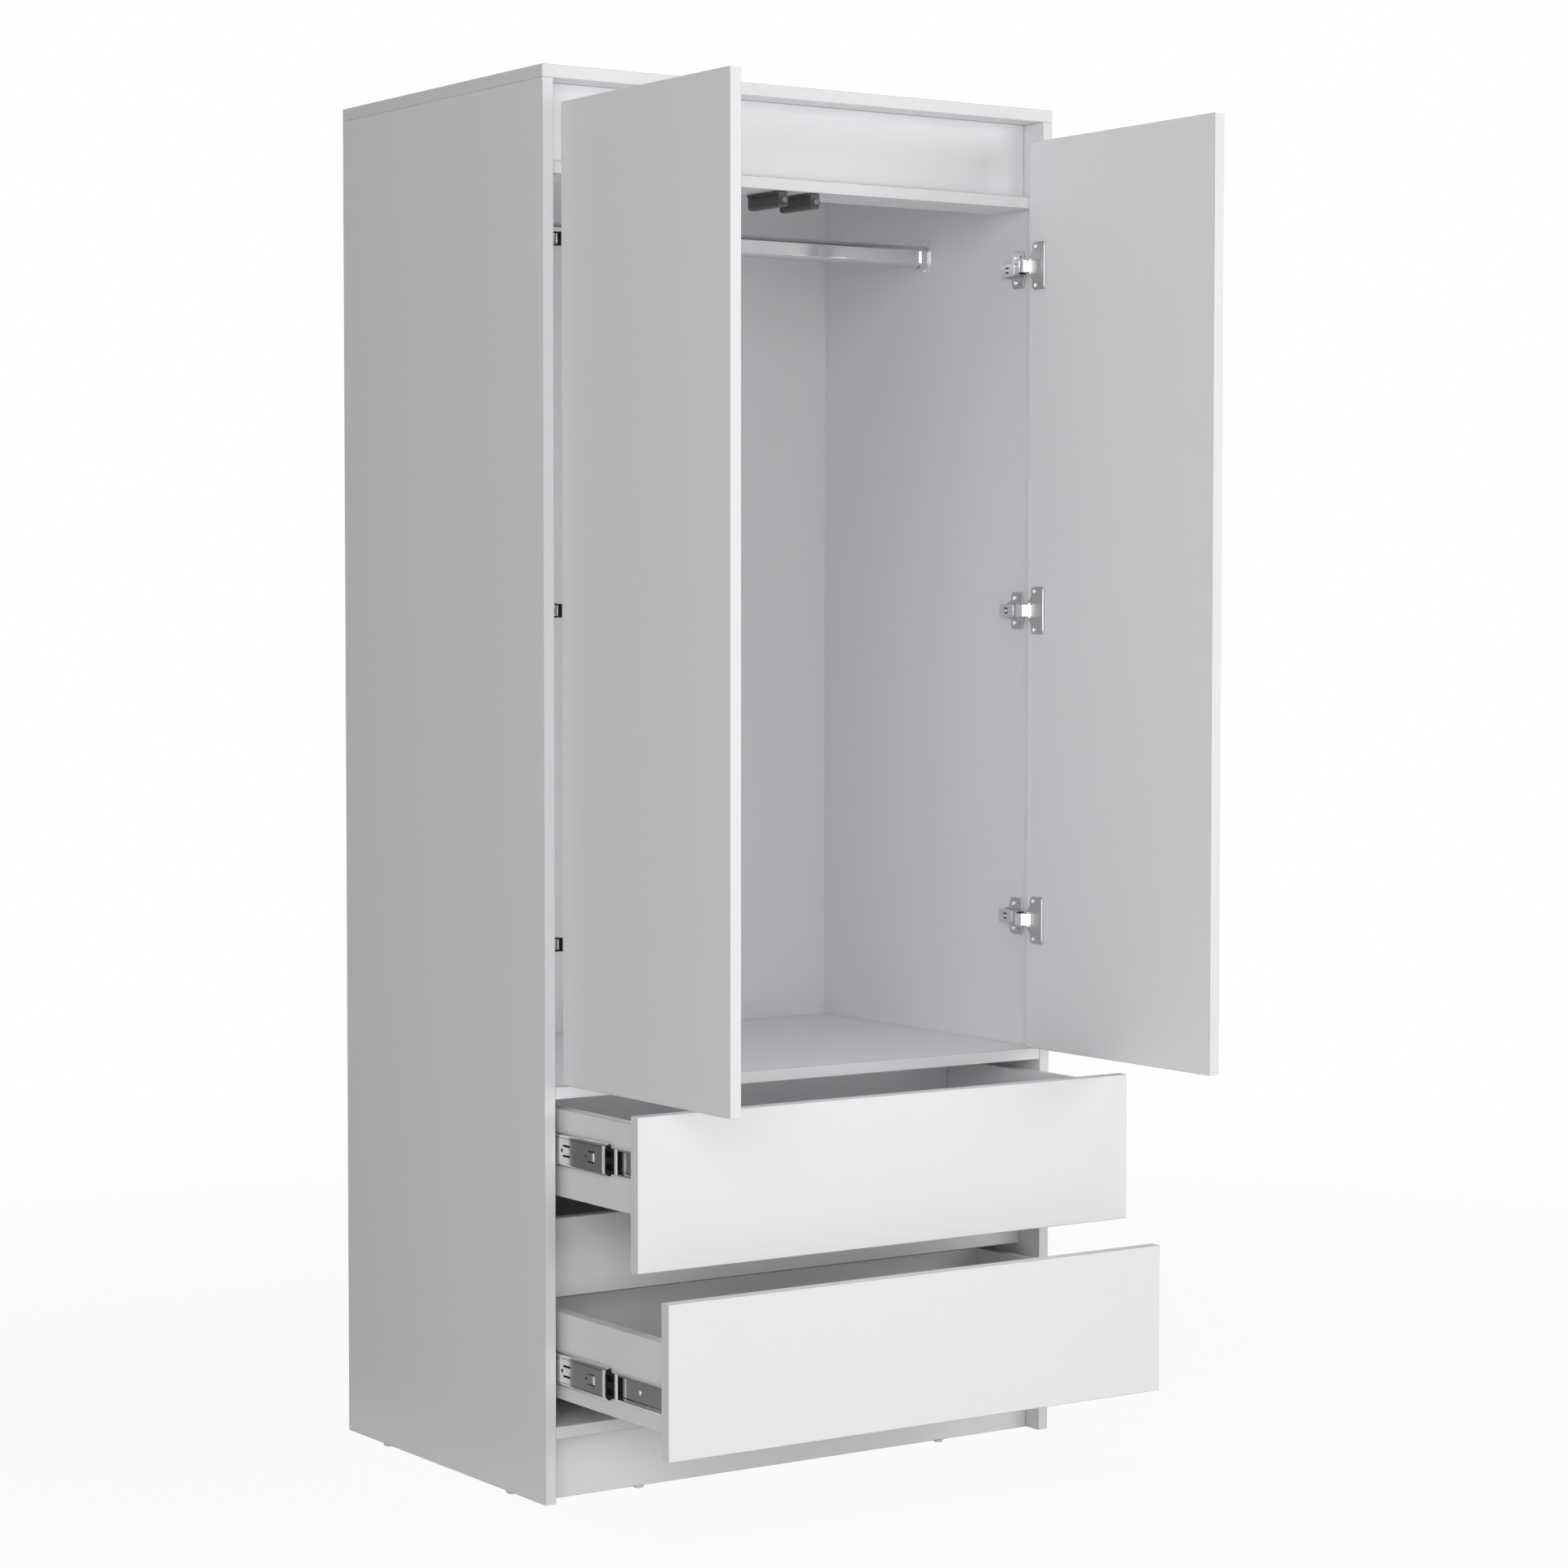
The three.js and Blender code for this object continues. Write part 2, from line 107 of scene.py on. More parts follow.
class Wire:
    # a node socket that does sums: each operator adds a Math node
    def __init__(self, tree, socket=None):
        self.tree, self.socket = tree, socket

    def node(self, kind, settings=None, inputs=None, output=0):
        # one node: its settings first, then the values or wires of its sockets
        made = self.tree.nodes.new(kind)
        for key, value in (settings or {}).items():
            setattr(made, key, value)
        for key, value in (inputs or {}).items():
            if isinstance(value, Wire):
                self.tree.links.new(value.socket, made.inputs[key])
            else:
                made.inputs[key].default_value = value
        return Wire(self.tree, made.outputs[output])

    def math(self, operation, *others):
        # a Math node on this wire and the others
        return self.node("ShaderNodeMath", {"operation": operation}, dict(enumerate((self, *others))))

    def __add__(self, other):
        return self.math("ADD", other)

    def __sub__(self, other):
        return self.math("SUBTRACT", other)

    def __rsub__(self, other):
        return self.node("ShaderNodeMath", {"operation": "SUBTRACT"}, {0: other, 1: self})

    def __mul__(self, other):
        return self.math("MULTIPLY", other)

    __radd__, __rmul__ = __add__, __mul__

    def mixed(self, first, second):
        # this wire is the second colour's share; 6, 7 and 2 are the colour sockets
        return self.node("ShaderNodeMix", {"data_type": "RGBA"}, {0: self, 6: first, 7: second}, 2)

    def noise(self, size, stretch=(1, 1, 1), detail=3.0, roughness=0.5):
        # features about size metres wide, drawn out along the axes by stretch
        scale = tuple(1 / share for share in stretch)
        scaled = self.node("ShaderNodeMapping", {}, {"Vector": self, "Scale": scale})
        values = {"Vector": scaled, "Scale": 1 / size, "Detail": detail, "Roughness": roughness}
        return self.node("ShaderNodeTexNoise", {}, values)

    def bump(self, distance, strength=1.0):
        values = {"Strength": strength, "Distance": distance, "Height": self}
        return self.node("ShaderNodeBump", {}, values)


def tone(red, green, blue):
    return (red, green, blue, 1.0)


def grey(value, cool=0.022):
    # a neutral with a slight blue cast
    return tone(value, value * (1 + cool / 5), value * (1 + cool))


def startFinish(name, **settings):
    # a new material, its shader, and a wire that carries object coordinates
    material = bpy.data.materials.new(name)
    material.use_nodes = True
    shader = material.node_tree.nodes["Principled BSDF"]
    place = Wire(material.node_tree).node("ShaderNodeTexCoord", output="Object")
    feed(shader, settings)
    return material, shader, place


def feed(shader, settings):
    # plain values go on the sockets, wires are linked to them
    for key, value in settings.items():
        socket = shader.inputs[key.replace("_", " ")]
        if isinstance(value, Wire):
            value.tree.links.new(value.socket, socket)
        else:
            socket.default_value = value


studio = {
    "ambient": 0.217,
    "floor": {"radius": 14.0, "rings": 25, "sides": 96, "white": 0.80, "shadow": 0.06, "fade": (1.0, 4.0)},
    "flag": {"near": 0.5, "far": 6.0, "foot": (0.0, 0.6, 2.0), "back": 4.0, "rise": 3.2, "bend": 0.3,
             "lift": 0.003, "tone": 0.38},
    "card": {"place": (1.9, -2.7, 2.1), "aim": (-0.2, 0.2, 1.62), "wide": 1.9, "tall": 2.2, "tone": 0.50},
    "lamps": {                        # place, aim, width, height, watts
        "frontLow": ((0.6, -4.6, 0.6), (0.0, 0.0, 0.7), 3.0, 1.0, 37.5),
        "frontLeft": ((-3.4, -4.2, 1.9), (0.0, 0.0, 1.0), 2.6, 2.6, 88),
        "leftLow": ((-4.0, -2.8, 0.5), (-0.2, 0.0, 0.5), 2.4, 0.9, 11),
        "frontRight": ((3.4, -4.2, 1.9), (0.0, 0.0, 1.0), 2.6, 2.6, 62),
        "top": ((0.0, -0.6, 4.6), (0.0, 0.0, 0.9), 3.0, 3.0, 54),
    },
}


def seenRays(tree):
    # 1 for rays straight from the camera, off metal or through glass
    camera, glossy, through = (Wire(tree).node("ShaderNodeLightPath", output=f"Is {kind} Ray")
                               for kind in ("Camera", "Glossy", "Transmission"))
    return camera.math("MAXIMUM", glossy.math("MAXIMUM", through))


def makeWorld():
    world = bpy.data.worlds.new("studio")
    bpy.context.scene.world = world
    world.use_nodes = True
    tree = world.node_tree
    strength = studio["ambient"] + seenRays(tree) * (1 - studio["ambient"])
    background = tree.nodes["Background"]
    background.inputs["Color"].default_value = tone(1, 1, 1)
    tree.links.new(strength.socket, background.inputs["Strength"])


def makeFloor():
    # a disc on a polar grid: x = r cos a, y = r sin a
    floor = studio["floor"]
    r, a = np.meshgrid(np.linspace(0, floor["radius"], floor["rings"]), around(floor["sides"]), indexing="ij")
    rings = np.stack([r * np.cos(a), r * np.sin(a), np.full_like(r, cadBox[0].z)], -1)
    meshObject("floor", [(ringStack(rings, ends="open"), floorFinish())])


def floorFinish():
    # white to the camera, with a share of true shading near the wardrobe
    floor = studio["floor"]
    material, shader, place = startFinish("studio_floor", Roughness=0.9)
    feed(shader, {"Base Color": grey(floor["white"], 0.0), "Specular IOR Level": 0.1})
    away = place.node("ShaderNodeVectorMath", {"operation": "LENGTH"}, {0: place}, "Value")
    near, far = floor["fade"]
    fade = {"Value": away, "From Min": near, "From Max": far, "To Min": floor["shadow"], "To Max": 0.0}
    shadow = away.node("ShaderNodeMapRange", {"interpolation_type": "SMOOTHSTEP"}, fade)
    share = seenRays(place.tree) * (1 - shadow)
    glow = place.node("ShaderNodeEmission", {}, {"Color": tone(1, 1, 1), "Strength": 1.0})
    shaded = Wire(place.tree, shader.outputs[0])
    mixed = place.node("ShaderNodeMixShader", {}, {0: share, 1: shaded, 2: glow})
    output = place.tree.nodes["Material Output"]
    place.tree.links.new(mixed.socket, output.inputs["Surface"])
    return material


def makeLamps():
    for name, (place, aim, wide, tall, watts) in studio["lamps"].items():
        lamp = bpy.data.lights.new(name, "AREA")
        lamp.shape, lamp.size, lamp.size_y, lamp.energy = "RECTANGLE", wide, tall, watts
        holder = bpy.data.objects.new(name, lamp)
        holder.location = place
        bpy.context.scene.collection.objects.link(holder)
        aimAt(holder, place, aim)


def aimAt(holder, place, aim):
    # turns an object so that its own -Z looks from place to aim
    away = np.subtract(aim, place)
    flat = math.hypot(away[0], away[1])
    holder.rotation_euler = (math.atan2(flat, -away[2]), 0, math.atan2(-away[0], away[1]))


def makeFlags():
    # dark cards beside the wardrobe: along the floor, then up a wall, and between the two
    # (y, z) = (back - bend + bend sin q, lift + bend - bend cos q)
    flag = studio["flag"]
    bend, lift = flag["bend"], flag["lift"]
    q = np.linspace(0, math.pi / 2, 7)
    y = np.concatenate([flag["foot"], flag["back"] - bend + bend * np.sin(q), [flag["back"]]])
    z = np.concatenate([np.full(len(flag["foot"]), lift), lift + bend - bend * np.cos(q), [flag["rise"]]])
    x = np.linspace(flag["near"], flag["far"], 5)
    ids = np.arange(len(y) * len(x)).reshape(len(y), len(x))
    faces = np.stack([ids[:-1, :-1], ids[1:, :-1], ids[1:, 1:], ids[:-1, 1:]], -1).reshape(-1, 4).tolist()
    shade = cardFinish("studio_flag", {"Base Color": grey(flag["tone"], 0.0)})
    for hand, side in hands.items():
        points = np.stack(np.broadcast_arrays(side * x[None, :], y[:, None], z[:, None]), -1).reshape(-1, 3)
        stageReflection(meshObject(f"flag_{hand}", [((points, faces), shade)]))


def stageReflection(item):
    # a stage piece that only shows in reflections
    item.visible_camera = item.visible_diffuse = item.visible_shadow = item.visible_transmission = False


def makeCard():
    # a grey card at the front right for the hanging rod to mirror
    card = studio["card"]
    x, y = card["wide"] / 2, card["tall"] / 2
    shape = (np.array([(-x, -y, 0), (x, -y, 0), (x, y, 0), (-x, y, 0)]), [(0, 1, 2, 3)])
    glow = {"Base Color": grey(0.0), "Emission Color": grey(card["tone"]), "Emission Strength": 1.0}
    item = meshObject("rod_card", [(shape, cardFinish("studio_card", glow))])
    item.location = card["place"]
    aimAt(item, card["place"], card["aim"])
    stageReflection(item)


def cardFinish(name, colours):
    # matt paint or an even glow, with no shine of its own
    material, shader = startFinish(name, Roughness=0.9)[:2]
    feed(shader, {"Specular IOR Level": 0.0, **colours})
    return material


# mesh helpers: a part is (points, faces), in millimetres until it is placed

def around(sides):
    # the angles of a closed ring
    return np.linspace(0, 2 * math.pi, sides, endpoint=False)


def ringStack(rings, ends="capped"):
    # rings of points joined in order; the end rings are capped, open, or joined up
    count, sides = rings.shape[:2]
    ids = np.arange(count * sides).reshape(count, sides)
    if ends == "joined":
        ids = np.vstack([ids, ids[:1]])
    beside = np.roll(ids, -1, axis=1)
    quads = np.stack([ids[:-1], beside[:-1], beside[1:], ids[1:]], -1).reshape(-1, 4)
    faces = [tuple(quad) for quad in quads.tolist()]
    if ends == "capped":
        faces += [tuple(ids[0, ::-1].tolist()), tuple(ids[-1].tolist())]
    return rings.reshape(-1, 3), faces


def turned(profile, sides=32):
    # a profile of (radius, height) round the z axis: x = r cos a, y = r sin a
    rings = roundAxis(profile, sides)
    return ringStack(rings, "open" if profile[0][0] == profile[-1][0] == 0 else "capped")


def roundAxis(profile, sides):
    r, z = np.array(profile, float).T[:, :, None]
    a = around(sides)[None]
    return np.stack([r * np.cos(a), r * np.sin(a), np.broadcast_to(z, (len(r), sides))], -1)


def circle(radius, centre=(0, 0), steps=24):
    a = around(steps)
    return np.column_stack([centre[0] + radius * np.cos(a), centre[1] + radius * np.sin(a)])


def roundedRect(wide, tall, radius, centre=(0, 0), steps=5):
    # four quarter circles, each centred radius in from two sides
    a = (np.arange(4)[:, None] + np.linspace(0, 1, steps)) * math.pi / 2
    signX, signY = np.array([[1], [-1], [-1], [1]]), np.array([[1], [1], [-1], [-1]])
    x = signX * (wide / 2 - radius) + radius * np.cos(a)
    y = signY * (tall / 2 - radius) + radius * np.sin(a)
    return np.column_stack([x.ravel() + centre[0], y.ravel() + centre[1]])


def filleted(corners, radius, steps=5):
    # every corner P becomes P + A(1-s)^2 + B s^2; A and B run along its sides for radius, or 0.45
    # of the shorter one
    corner = np.array(corners, float)
    back, ahead = np.roll(corner, 1, 0) - corner, np.roll(corner, -1, 0) - corner
    backLength, aheadLength = np.linalg.norm(back, axis=1), np.linalg.norm(ahead, axis=1)
    reach = np.minimum(radius, 0.45 * np.minimum(backLength, aheadLength))
    s = np.linspace(0, 1, steps)[None, :, None]
    a = (back * (reach / backLength)[:, None])[:, None]
    b = (ahead * (reach / aheadLength)[:, None])[:, None]
    return (corner[:, None] + a * (1 - s) ** 2 + b * s ** 2).reshape(-1, 2)


def stamped(outline, holes=(), thickness=1.0, bevel=0.25, rounds=1):
    # a flat blank in xy with holes, z from 0 to its thickness, edges rounded
    curve = bpy.data.curves.new("blank", "CURVE")
    curve.dimensions, curve.fill_mode = "2D", "BOTH"
    curve.extrude, curve.bevel_depth, curve.offset = thickness / 2 - bevel, bevel, -bevel
    curve.bevel_resolution = rounds
    for loop in (outline, *holes):
        spline = curve.splines.new("POLY")
        spline.points.add(len(loop) - 1)
        flat = np.column_stack([loop, np.zeros(len(loop)), np.ones(len(loop))])
        spline.points.foreach_set("co", flat.ravel())
        spline.use_cyclic_u = True
    holder = bpy.data.objects.new("blank", curve)
    mesh = bpy.data.meshes.new_from_object(holder)
    points = np.empty(len(mesh.vertices) * 3)
    mesh.vertices.foreach_get("co", points)
    faces = [tuple(face.vertices) for face in mesh.polygons]
    bpy.data.objects.remove(holder)
    bpy.data.curves.remove(curve)
    bpy.data.meshes.remove(mesh)
    return points.reshape(-1, 3) + (0, 0, thickness / 2), faces


def bar(stations, middles, wides, talls, radius, axes=(0, 1, 2), smooth=24):
    # rounded rectangles along the first axis; middles are on the other two
    along = np.linspace(stations[0], stations[-1], smooth)
    pick = lambda values: np.interp(along, stations, np.broadcast_to(values, len(stations)))
    middle = np.array([pick(np.array(middles, float)[:, i]) for i in (0, 1)])
    wide, tall = pick(wides), pick(talls)
    across, up = easedSection(wide, tall, radius)
    rings = np.empty((smooth, across.shape[1], 3))
    rings[..., axes[0]] = along[:, None]
    rings[..., axes[1]] = middle[0][:, None] + across
    rings[..., axes[2]] = middle[1][:, None] + up
    return ringStack(rings)


def strip(half, middle, wide, tall, radius, axes, ease=1.0):
    # a bar from -half to half with narrower ends; wide and tall give the ends and the rest
    ends = lambda pair: [pair[0], pair[1], pair[1], pair[0]]
    return bar([-half, ease - half, half - ease, half], [middle] * 4, ends(wide), ends(tall), radius, axes)


def easedSection(wide, tall, radius):
    # sign (size / 2 - radius) + arc; the arc is scaled from a 2 by 2 rectangle with a radius of 0.5
    unit = roundedRect(2, 2, 0.5, steps=4)
    corner = np.sign(unit)
    arc = (unit - corner * 0.5) * 2 * radius
    return [corner[:, i] * (size[:, None] / 2 - radius) + arc[:, i] for i, size in enumerate((wide, tall))]


def placed(part, origin, x, y, z):
    # moves a part into the shared frame in metres, its axes along the three directions
    points, faces = part
    return np.asarray(origin, float) + points @ np.array([x, y, z], float) * mm, faces


plainAxes = (1, 0, 0), (0, 1, 0), (0, 0, 1)


def moved(part, x=0.0, y=0.0, z=0.0):
    return part[0] + (x, y, z), part[1]


def acrossX(part):
    # from xy to (y, z), with the thickness along x
    return part[0][:, (2, 0, 1)], part[1]


def acrossY(part):
    # from xy to (x, z), with the thickness along y
    return part[0][:, (0, 2, 1)], part[1]


def dresser(origin, *axes):
    # a function that puts parts in their place and pairs each with a finish
    return lambda parts, name: [(placed(part, origin, *axes), finish[name]) for part in parts]


meshRules = {"weld": 2e-7, "sharp": 32, "flatWeight": 90}      # metres, degrees, percent


def meshObject(name, dressed):
    # one welded object from (part, material) pairs, its faces turned outwards
    points, faces, wears, start = [], [], [], 0
    materials = []
    for (partPoints, partFaces), material in dressed:
        if material not in materials:
            materials.append(material)
        points.append(partPoints)
        faces += [tuple(i + start for i in face) for face in partFaces]
        wears += [materials.index(material)] * len(partFaces)
        start += len(partPoints)
    mesh = bpy.data.meshes.new(name)
    mesh.from_pydata(np.concatenate(points), [], faces)
    for material in materials:
        mesh.materials.append(material)
    mesh.polygons.foreach_set("material_index", wears)
    work = bmesh.new()
    work.from_mesh(mesh)
    bmesh.ops.remove_doubles(work, verts=work.verts, dist=meshRules["weld"])      # closes seams and poles
    bmesh.ops.recalc_face_normals(work, faces=work.faces)
    work.to_mesh(mesh)
    work.free()
    mesh.shade_smooth()
    mesh.set_sharp_from_angle(angle=math.radians(meshRules["sharp"]))
    made = bpy.data.objects.new(name, mesh)
    bpy.context.scene.collection.objects.link(made)
    flatten = made.modifiers.new("flat faces stay flat", "WEIGHTED_NORMAL")
    flatten.keep_sharp, flatten.weight = True, meshRules["flatWeight"]
    return made


def makePiece(name, dressed, body, standsFor=()):
    piece = meshObject(name, dressed)
    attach(piece, body)
    if standsFor:
        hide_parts(*standsFor)
    return piece


# finishes

whiteBoard = {
    # the arris tone is painted shade: the chamfers between faces and edges are coloured dark, as if in shadow
    "face": 0.80, "edge": 0.765, "arrisShade": 0.50,
    "edgeFrom": 0.5, "arrisFrom": 0.9,      # the normal's share along the thickness
    "tightJoint": 0.005,          # where the arrises meet under the top panel, which get no painted shade
    "streak": (0.018, 0.9), "streakDepth": 0.010,      # metres, and a share of the colour
    "cloud": 0.35, "cloudShare": 0.3,
    "roughness": 0.44, "edgeRoughness": 0.36, "streakRough": 0.05, "skinRough": 0.04,
    "skin": 0.0016, "skinDepth": 0.000012,
}


def facingShare(place, axis):
    # the surface normal's part along one axis, from -1 to 1
    normal = place.node("ShaderNodeTexCoord", output="Normal")
    return place.node("ShaderNodeSeparateXYZ", {}, {0: normal}, axis.upper())


def boardFinish(axis):
    # melamine-faced board, its thickness along axis, with edge band on its narrow sides and painted shade on
    # its arrises
    board = whiteBoard
    material, shader, place = startFinish("white_board_" + axis, IOR=1.5)
    facing = facingShare(place, axis).math("ABSOLUTE")
    onEdge = facing.math("LESS_THAN", board["edgeFrom"])
    paintedArrisShade = facing.math("LESS_THAN", board["arrisFrom"]) - onEdge
    height = place.node("ShaderNodeSeparateXYZ", {}, {0: place}, "Z")
    fromJoint = (height - (cadBox[1].z - boardThickness)).math("ABSOLUTE")
    paintedArrisShade = paintedArrisShade * fromJoint.math("GREATER_THAN", board["tightJoint"])
    wide, long = board["streak"]
    stretch = (long / wide, 1, 1) if axis == "z" else (1, 1, long / wide)
    streaks = place.noise(wide, stretch, detail=4.0, roughness=0.6)
    clouds = place.noise(board["cloud"], detail=2.0)
    mottle = streaks * (1 - board["cloudShare"]) + clouds * board["cloudShare"]
    shade = 1 - board["streakDepth"] * (mottle - 0.5)
    face = onEdge.mixed(grey(board["face"]), grey(board["edge"]))
    # painted shade: the arrises turn dark grey, except at the tight joint under the top panel
    face = paintedArrisShade.mixed(face, grey(board["arrisShade"]))
    colour = place.node("ShaderNodeVectorMath", {"operation": "SCALE"}, {0: face, "Scale": shade})
    skin = place.noise(board["skin"], detail=2.0)
    smoother = onEdge * (board["roughness"] - board["edgeRoughness"])
    rough = board["roughness"] + board["streakRough"] * streaks - smoother + board["skinRough"] * skin
    feed(shader, {"Base Color": colour, "Roughness": rough, "Normal": skin.bump(board["skinDepth"], 0.5)})
    return material


backSheet = {
    "white": 0.79, "whiteSpread": 0.985, "fibre": (0.33, 0.215, 0.125), "fibreLight": (0.47, 0.33, 0.21),
    "fibreSize": 0.0022, "cloud": 0.06, "depth": 0.00005,
    "roughness": 0.5, "bareRough": 0.32, "fibreRough": 0.05,
}


def sheetFinish(name, axis, sign, bareShare=1.0):
    # hardboard: white lacquer, and bare fibre on the side that faces sign along axis
    sheet = backSheet
    material, shader, place = startFinish(name, IOR=1.48)
    bare = (facingShare(place, axis) * sign).math("GREATER_THAN", 0.5) * bareShare
    stretch = (5, 5, 1) if axis == "z" else (6, 1, 1)
    fibres = place.noise(sheet["fibreSize"], stretch, detail=5.0, roughness=0.7)
    clouds = place.noise(sheet["cloud"], detail=3.0)
    speckle = fibres * 0.7 + clouds * 0.45 - 0.1
    brown = speckle.mixed(tone(*sheet["fibre"]), tone(*sheet["fibreLight"]))
    lacquer = clouds.mixed(grey(sheet["white"]), grey(sheet["white"] * sheet["whiteSpread"]))
    feed(shader, {"Base Color": bare.mixed(lacquer, brown),
                  "Roughness": sheet["roughness"] + bare * sheet["bareRough"] + fibres * sheet["fibreRough"],
                  "Normal": (fibres * (0.25 + bare)).bump(sheet["depth"], 0.6)})
    return material


metal = {"grain": 0.0006, "cloud": 0.012, "cast": 0.01, "dark": 0.92, "light": 1.06, "brightest": 0.98}


def metalFinish(name, colour, roughness, stretch=(1, 1, 1), depth=0.000004, spread=0.10):
    # plated steel: fine drawn lines, and faint clouds in its tone
    material, shader, place = startFinish(name, Metallic=1.0)
    lines = place.noise(metal["grain"], stretch, detail=3.0, roughness=0.65)
    clouds = place.noise(metal["cloud"], detail=2.0)
    light = min(colour * metal["light"], metal["brightest"])
    tones = (lines * 0.5 + clouds * 0.5).mixed(grey(colour * metal["dark"], metal["cast"]),
                                               grey(light, metal["cast"]))
    feed(shader, {"Base Color": tones, "Roughness": roughness - spread / 2 + lines * spread,
                  "Normal": lines.bump(depth, 0.5)})
    return material


def paintedShineWhite(name, colour, roughness):
    # painted reflection: a near-white diffuse coat under lacquer stands in for bright nickel, so the metal
    # shows as bright as its reflections; it scatters light as white paint does
    material, shader, place = startFinish(name, IOR=1.6, Metallic=0.0, Coat_Weight=1.0, Coat_Roughness=0.08)
    clouds = place.noise(0.006, detail=2.0)
    fine = place.noise(0.0008, detail=2.0)
    feed(shader, {"Base Color": clouds.mixed(grey(colour * 0.985, 0), grey(colour, 0)),
                  "Roughness": roughness + 0.06 * fine, "Normal": fine.bump(0.000001, 0.4)})
    return material


plastic = {"pore": 0.0007, "poreDepth": 0.00002, "poreRough": 0.12, "cloud": 0.01, "swing": 0.08}


def plasticFinish(name, colour, roughness, gloss=0.5):
    # moulded plastic with a fine spark-eroded texture
    material, shader, place = startFinish(name, IOR=1.5, Specular_IOR_Level=gloss)
    pores = place.noise(plastic["pore"], detail=3.0)
    clouds = place.noise(plastic["cloud"], detail=1.0)
    tones = clouds.mixed(grey(colour * (1 - plastic["swing"])), grey(colour * (1 + plastic["swing"])))
    feed(shader, {"Base Color": tones, "Roughness": roughness + plastic["poreRough"] * pores,
                  "Normal": pores.bump(plastic["poreDepth"], 0.5)})
    return material


def makeFinishes():
    # after each name: the tone and the roughness
    made = {"board_" + axis: boardFinish(axis) for axis in "xyz"}
    made["back"] = sheetFinish("back_sheet", "y", 1)
    made["bottom"] = sheetFinish("drawer_bottom_sheet", "z", -1, 0.06)
    made["nickel"] = metalFinish("nickel_plate", 0.60, 0.30)
    made["tongue"] = metalFinish("satin_nickel", 0.78, 0.34, depth=0.000002, spread=0.05)
    made["link"] = metalFinish("bright_nickel", 0.93, 0.20, depth=0.0000003, spread=0.04)
    made["zinc"] = metalFinish("zinc_plate", 0.78, 0.16, (1, 40, 1), depth=0.0000001, spread=0.04)
    made["screw"] = metalFinish("bright_screw", 0.86, 0.20)
    made["chrome"] = metalFinish("polished_chrome", 0.74, 0.12, (60, 1, 1), depth=0.000002, spread=0.04)
    made["black"] = plasticFinish("black_slide_plastic", 0.007, 0.5, gloss=0.18)
    made["latch"] = plasticFinish("dark_latch_plastic", 0.075, 0.42)
    made["pale"] = plasticFinish("pale_glide_plastic", 0.72, 0.42)
    made["tip"] = plasticFinish("grey_tip_plastic", 0.17, 0.30)
    # painted reflection: near-white diffuse parts in place of shining plated metal
    made["bright"] = paintedShineWhite("painted_shine_white", 0.86, 0.30)
    # painted shade: a near-black plate seen through the hinge arms' slots
    made["recess"] = plasticFinish("painted_slot_shade", 0.02, 0.7, gloss=0.2)
    return made


makeCamera()
makeWorld()
makeLamps()
makeFloor()
makeFlags()
makeCard()
finish = makeFinishes()
print("camera, studio and", len(finish), "finishes made")


# boards: each keeps its CAD solid and takes the finish for its thickness axis

sheets = {"back_panel": "back", "upper_drawer_bottom": "bottom", "lower_drawer_bottom": "bottom"}
boardEndings = ("panel", "plinth", "rail", "floor", "fascia", "door", "_front", "_back", "_side")


def dressBoards():
    boards = [name for name in frame["nodes"] if name.endswith(boardEndings) or name in sheets]
    for name in boards:
        low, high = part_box(name)
        axis = "xyz"[int(np.argmin(np.subtract(high, low)))]
        material = finish[sheets[name]] if name in sheets else finish["board_" + axis]
        mesh = frame["nodes"][name].data
        mesh.materials.clear()
        mesh.materials.append(material)
    print("boards dressed:", len(boards))


dressBoards()


# screws

crossHead = {"slot": 0.16, "ease": 0.12, "reach": 0.62, "reachEase": 0.14, "sunk": 0.6, "rim": 0.35}


def screwHead(radius, height, slot=crossHead["slot"]):
    # a dome z = height (rim + (1 - rim) (1 - (r/R)^4)), with a cross sunk into it where |x| or |y|
    # is under slot R and r under reach R
    r, a = np.meshgrid(np.linspace(1, 0, 13) ** 0.8, around(48), indexing="ij")
    x, y = r * np.cos(a), r * np.sin(a)
    ease, rim = crossHead["ease"], crossHead["rim"]
    wall = np.clip((slot + ease / 2 - np.minimum(np.abs(x), np.abs(y))) / ease, 0, 1)
    end = np.clip((crossHead["reach"] - r) / crossHead["reachEase"] + 0.5, 0, 1)
    z = height * (rim + (1 - rim) * (1 - r ** 4)) - wall * end * height * crossHead["sunk"]
    top = np.stack([x * radius, y * radius, z], -1)
    foot = top[:1] * (1, 1, 0)
    return ringStack(np.concatenate([foot, top]))


def sideScrew(radius, height, x, y, z=0.0, looks=1):
    # a screw head on an upright face at x; it looks inwards, or outwards with looks=-1
    points, faces = acrossX(screwHead(radius, height))
    return points * (looks, 1, 1) + (x, y, z), faces


# hinges: side frame, x inwards from the outer side face, y back from the front plane

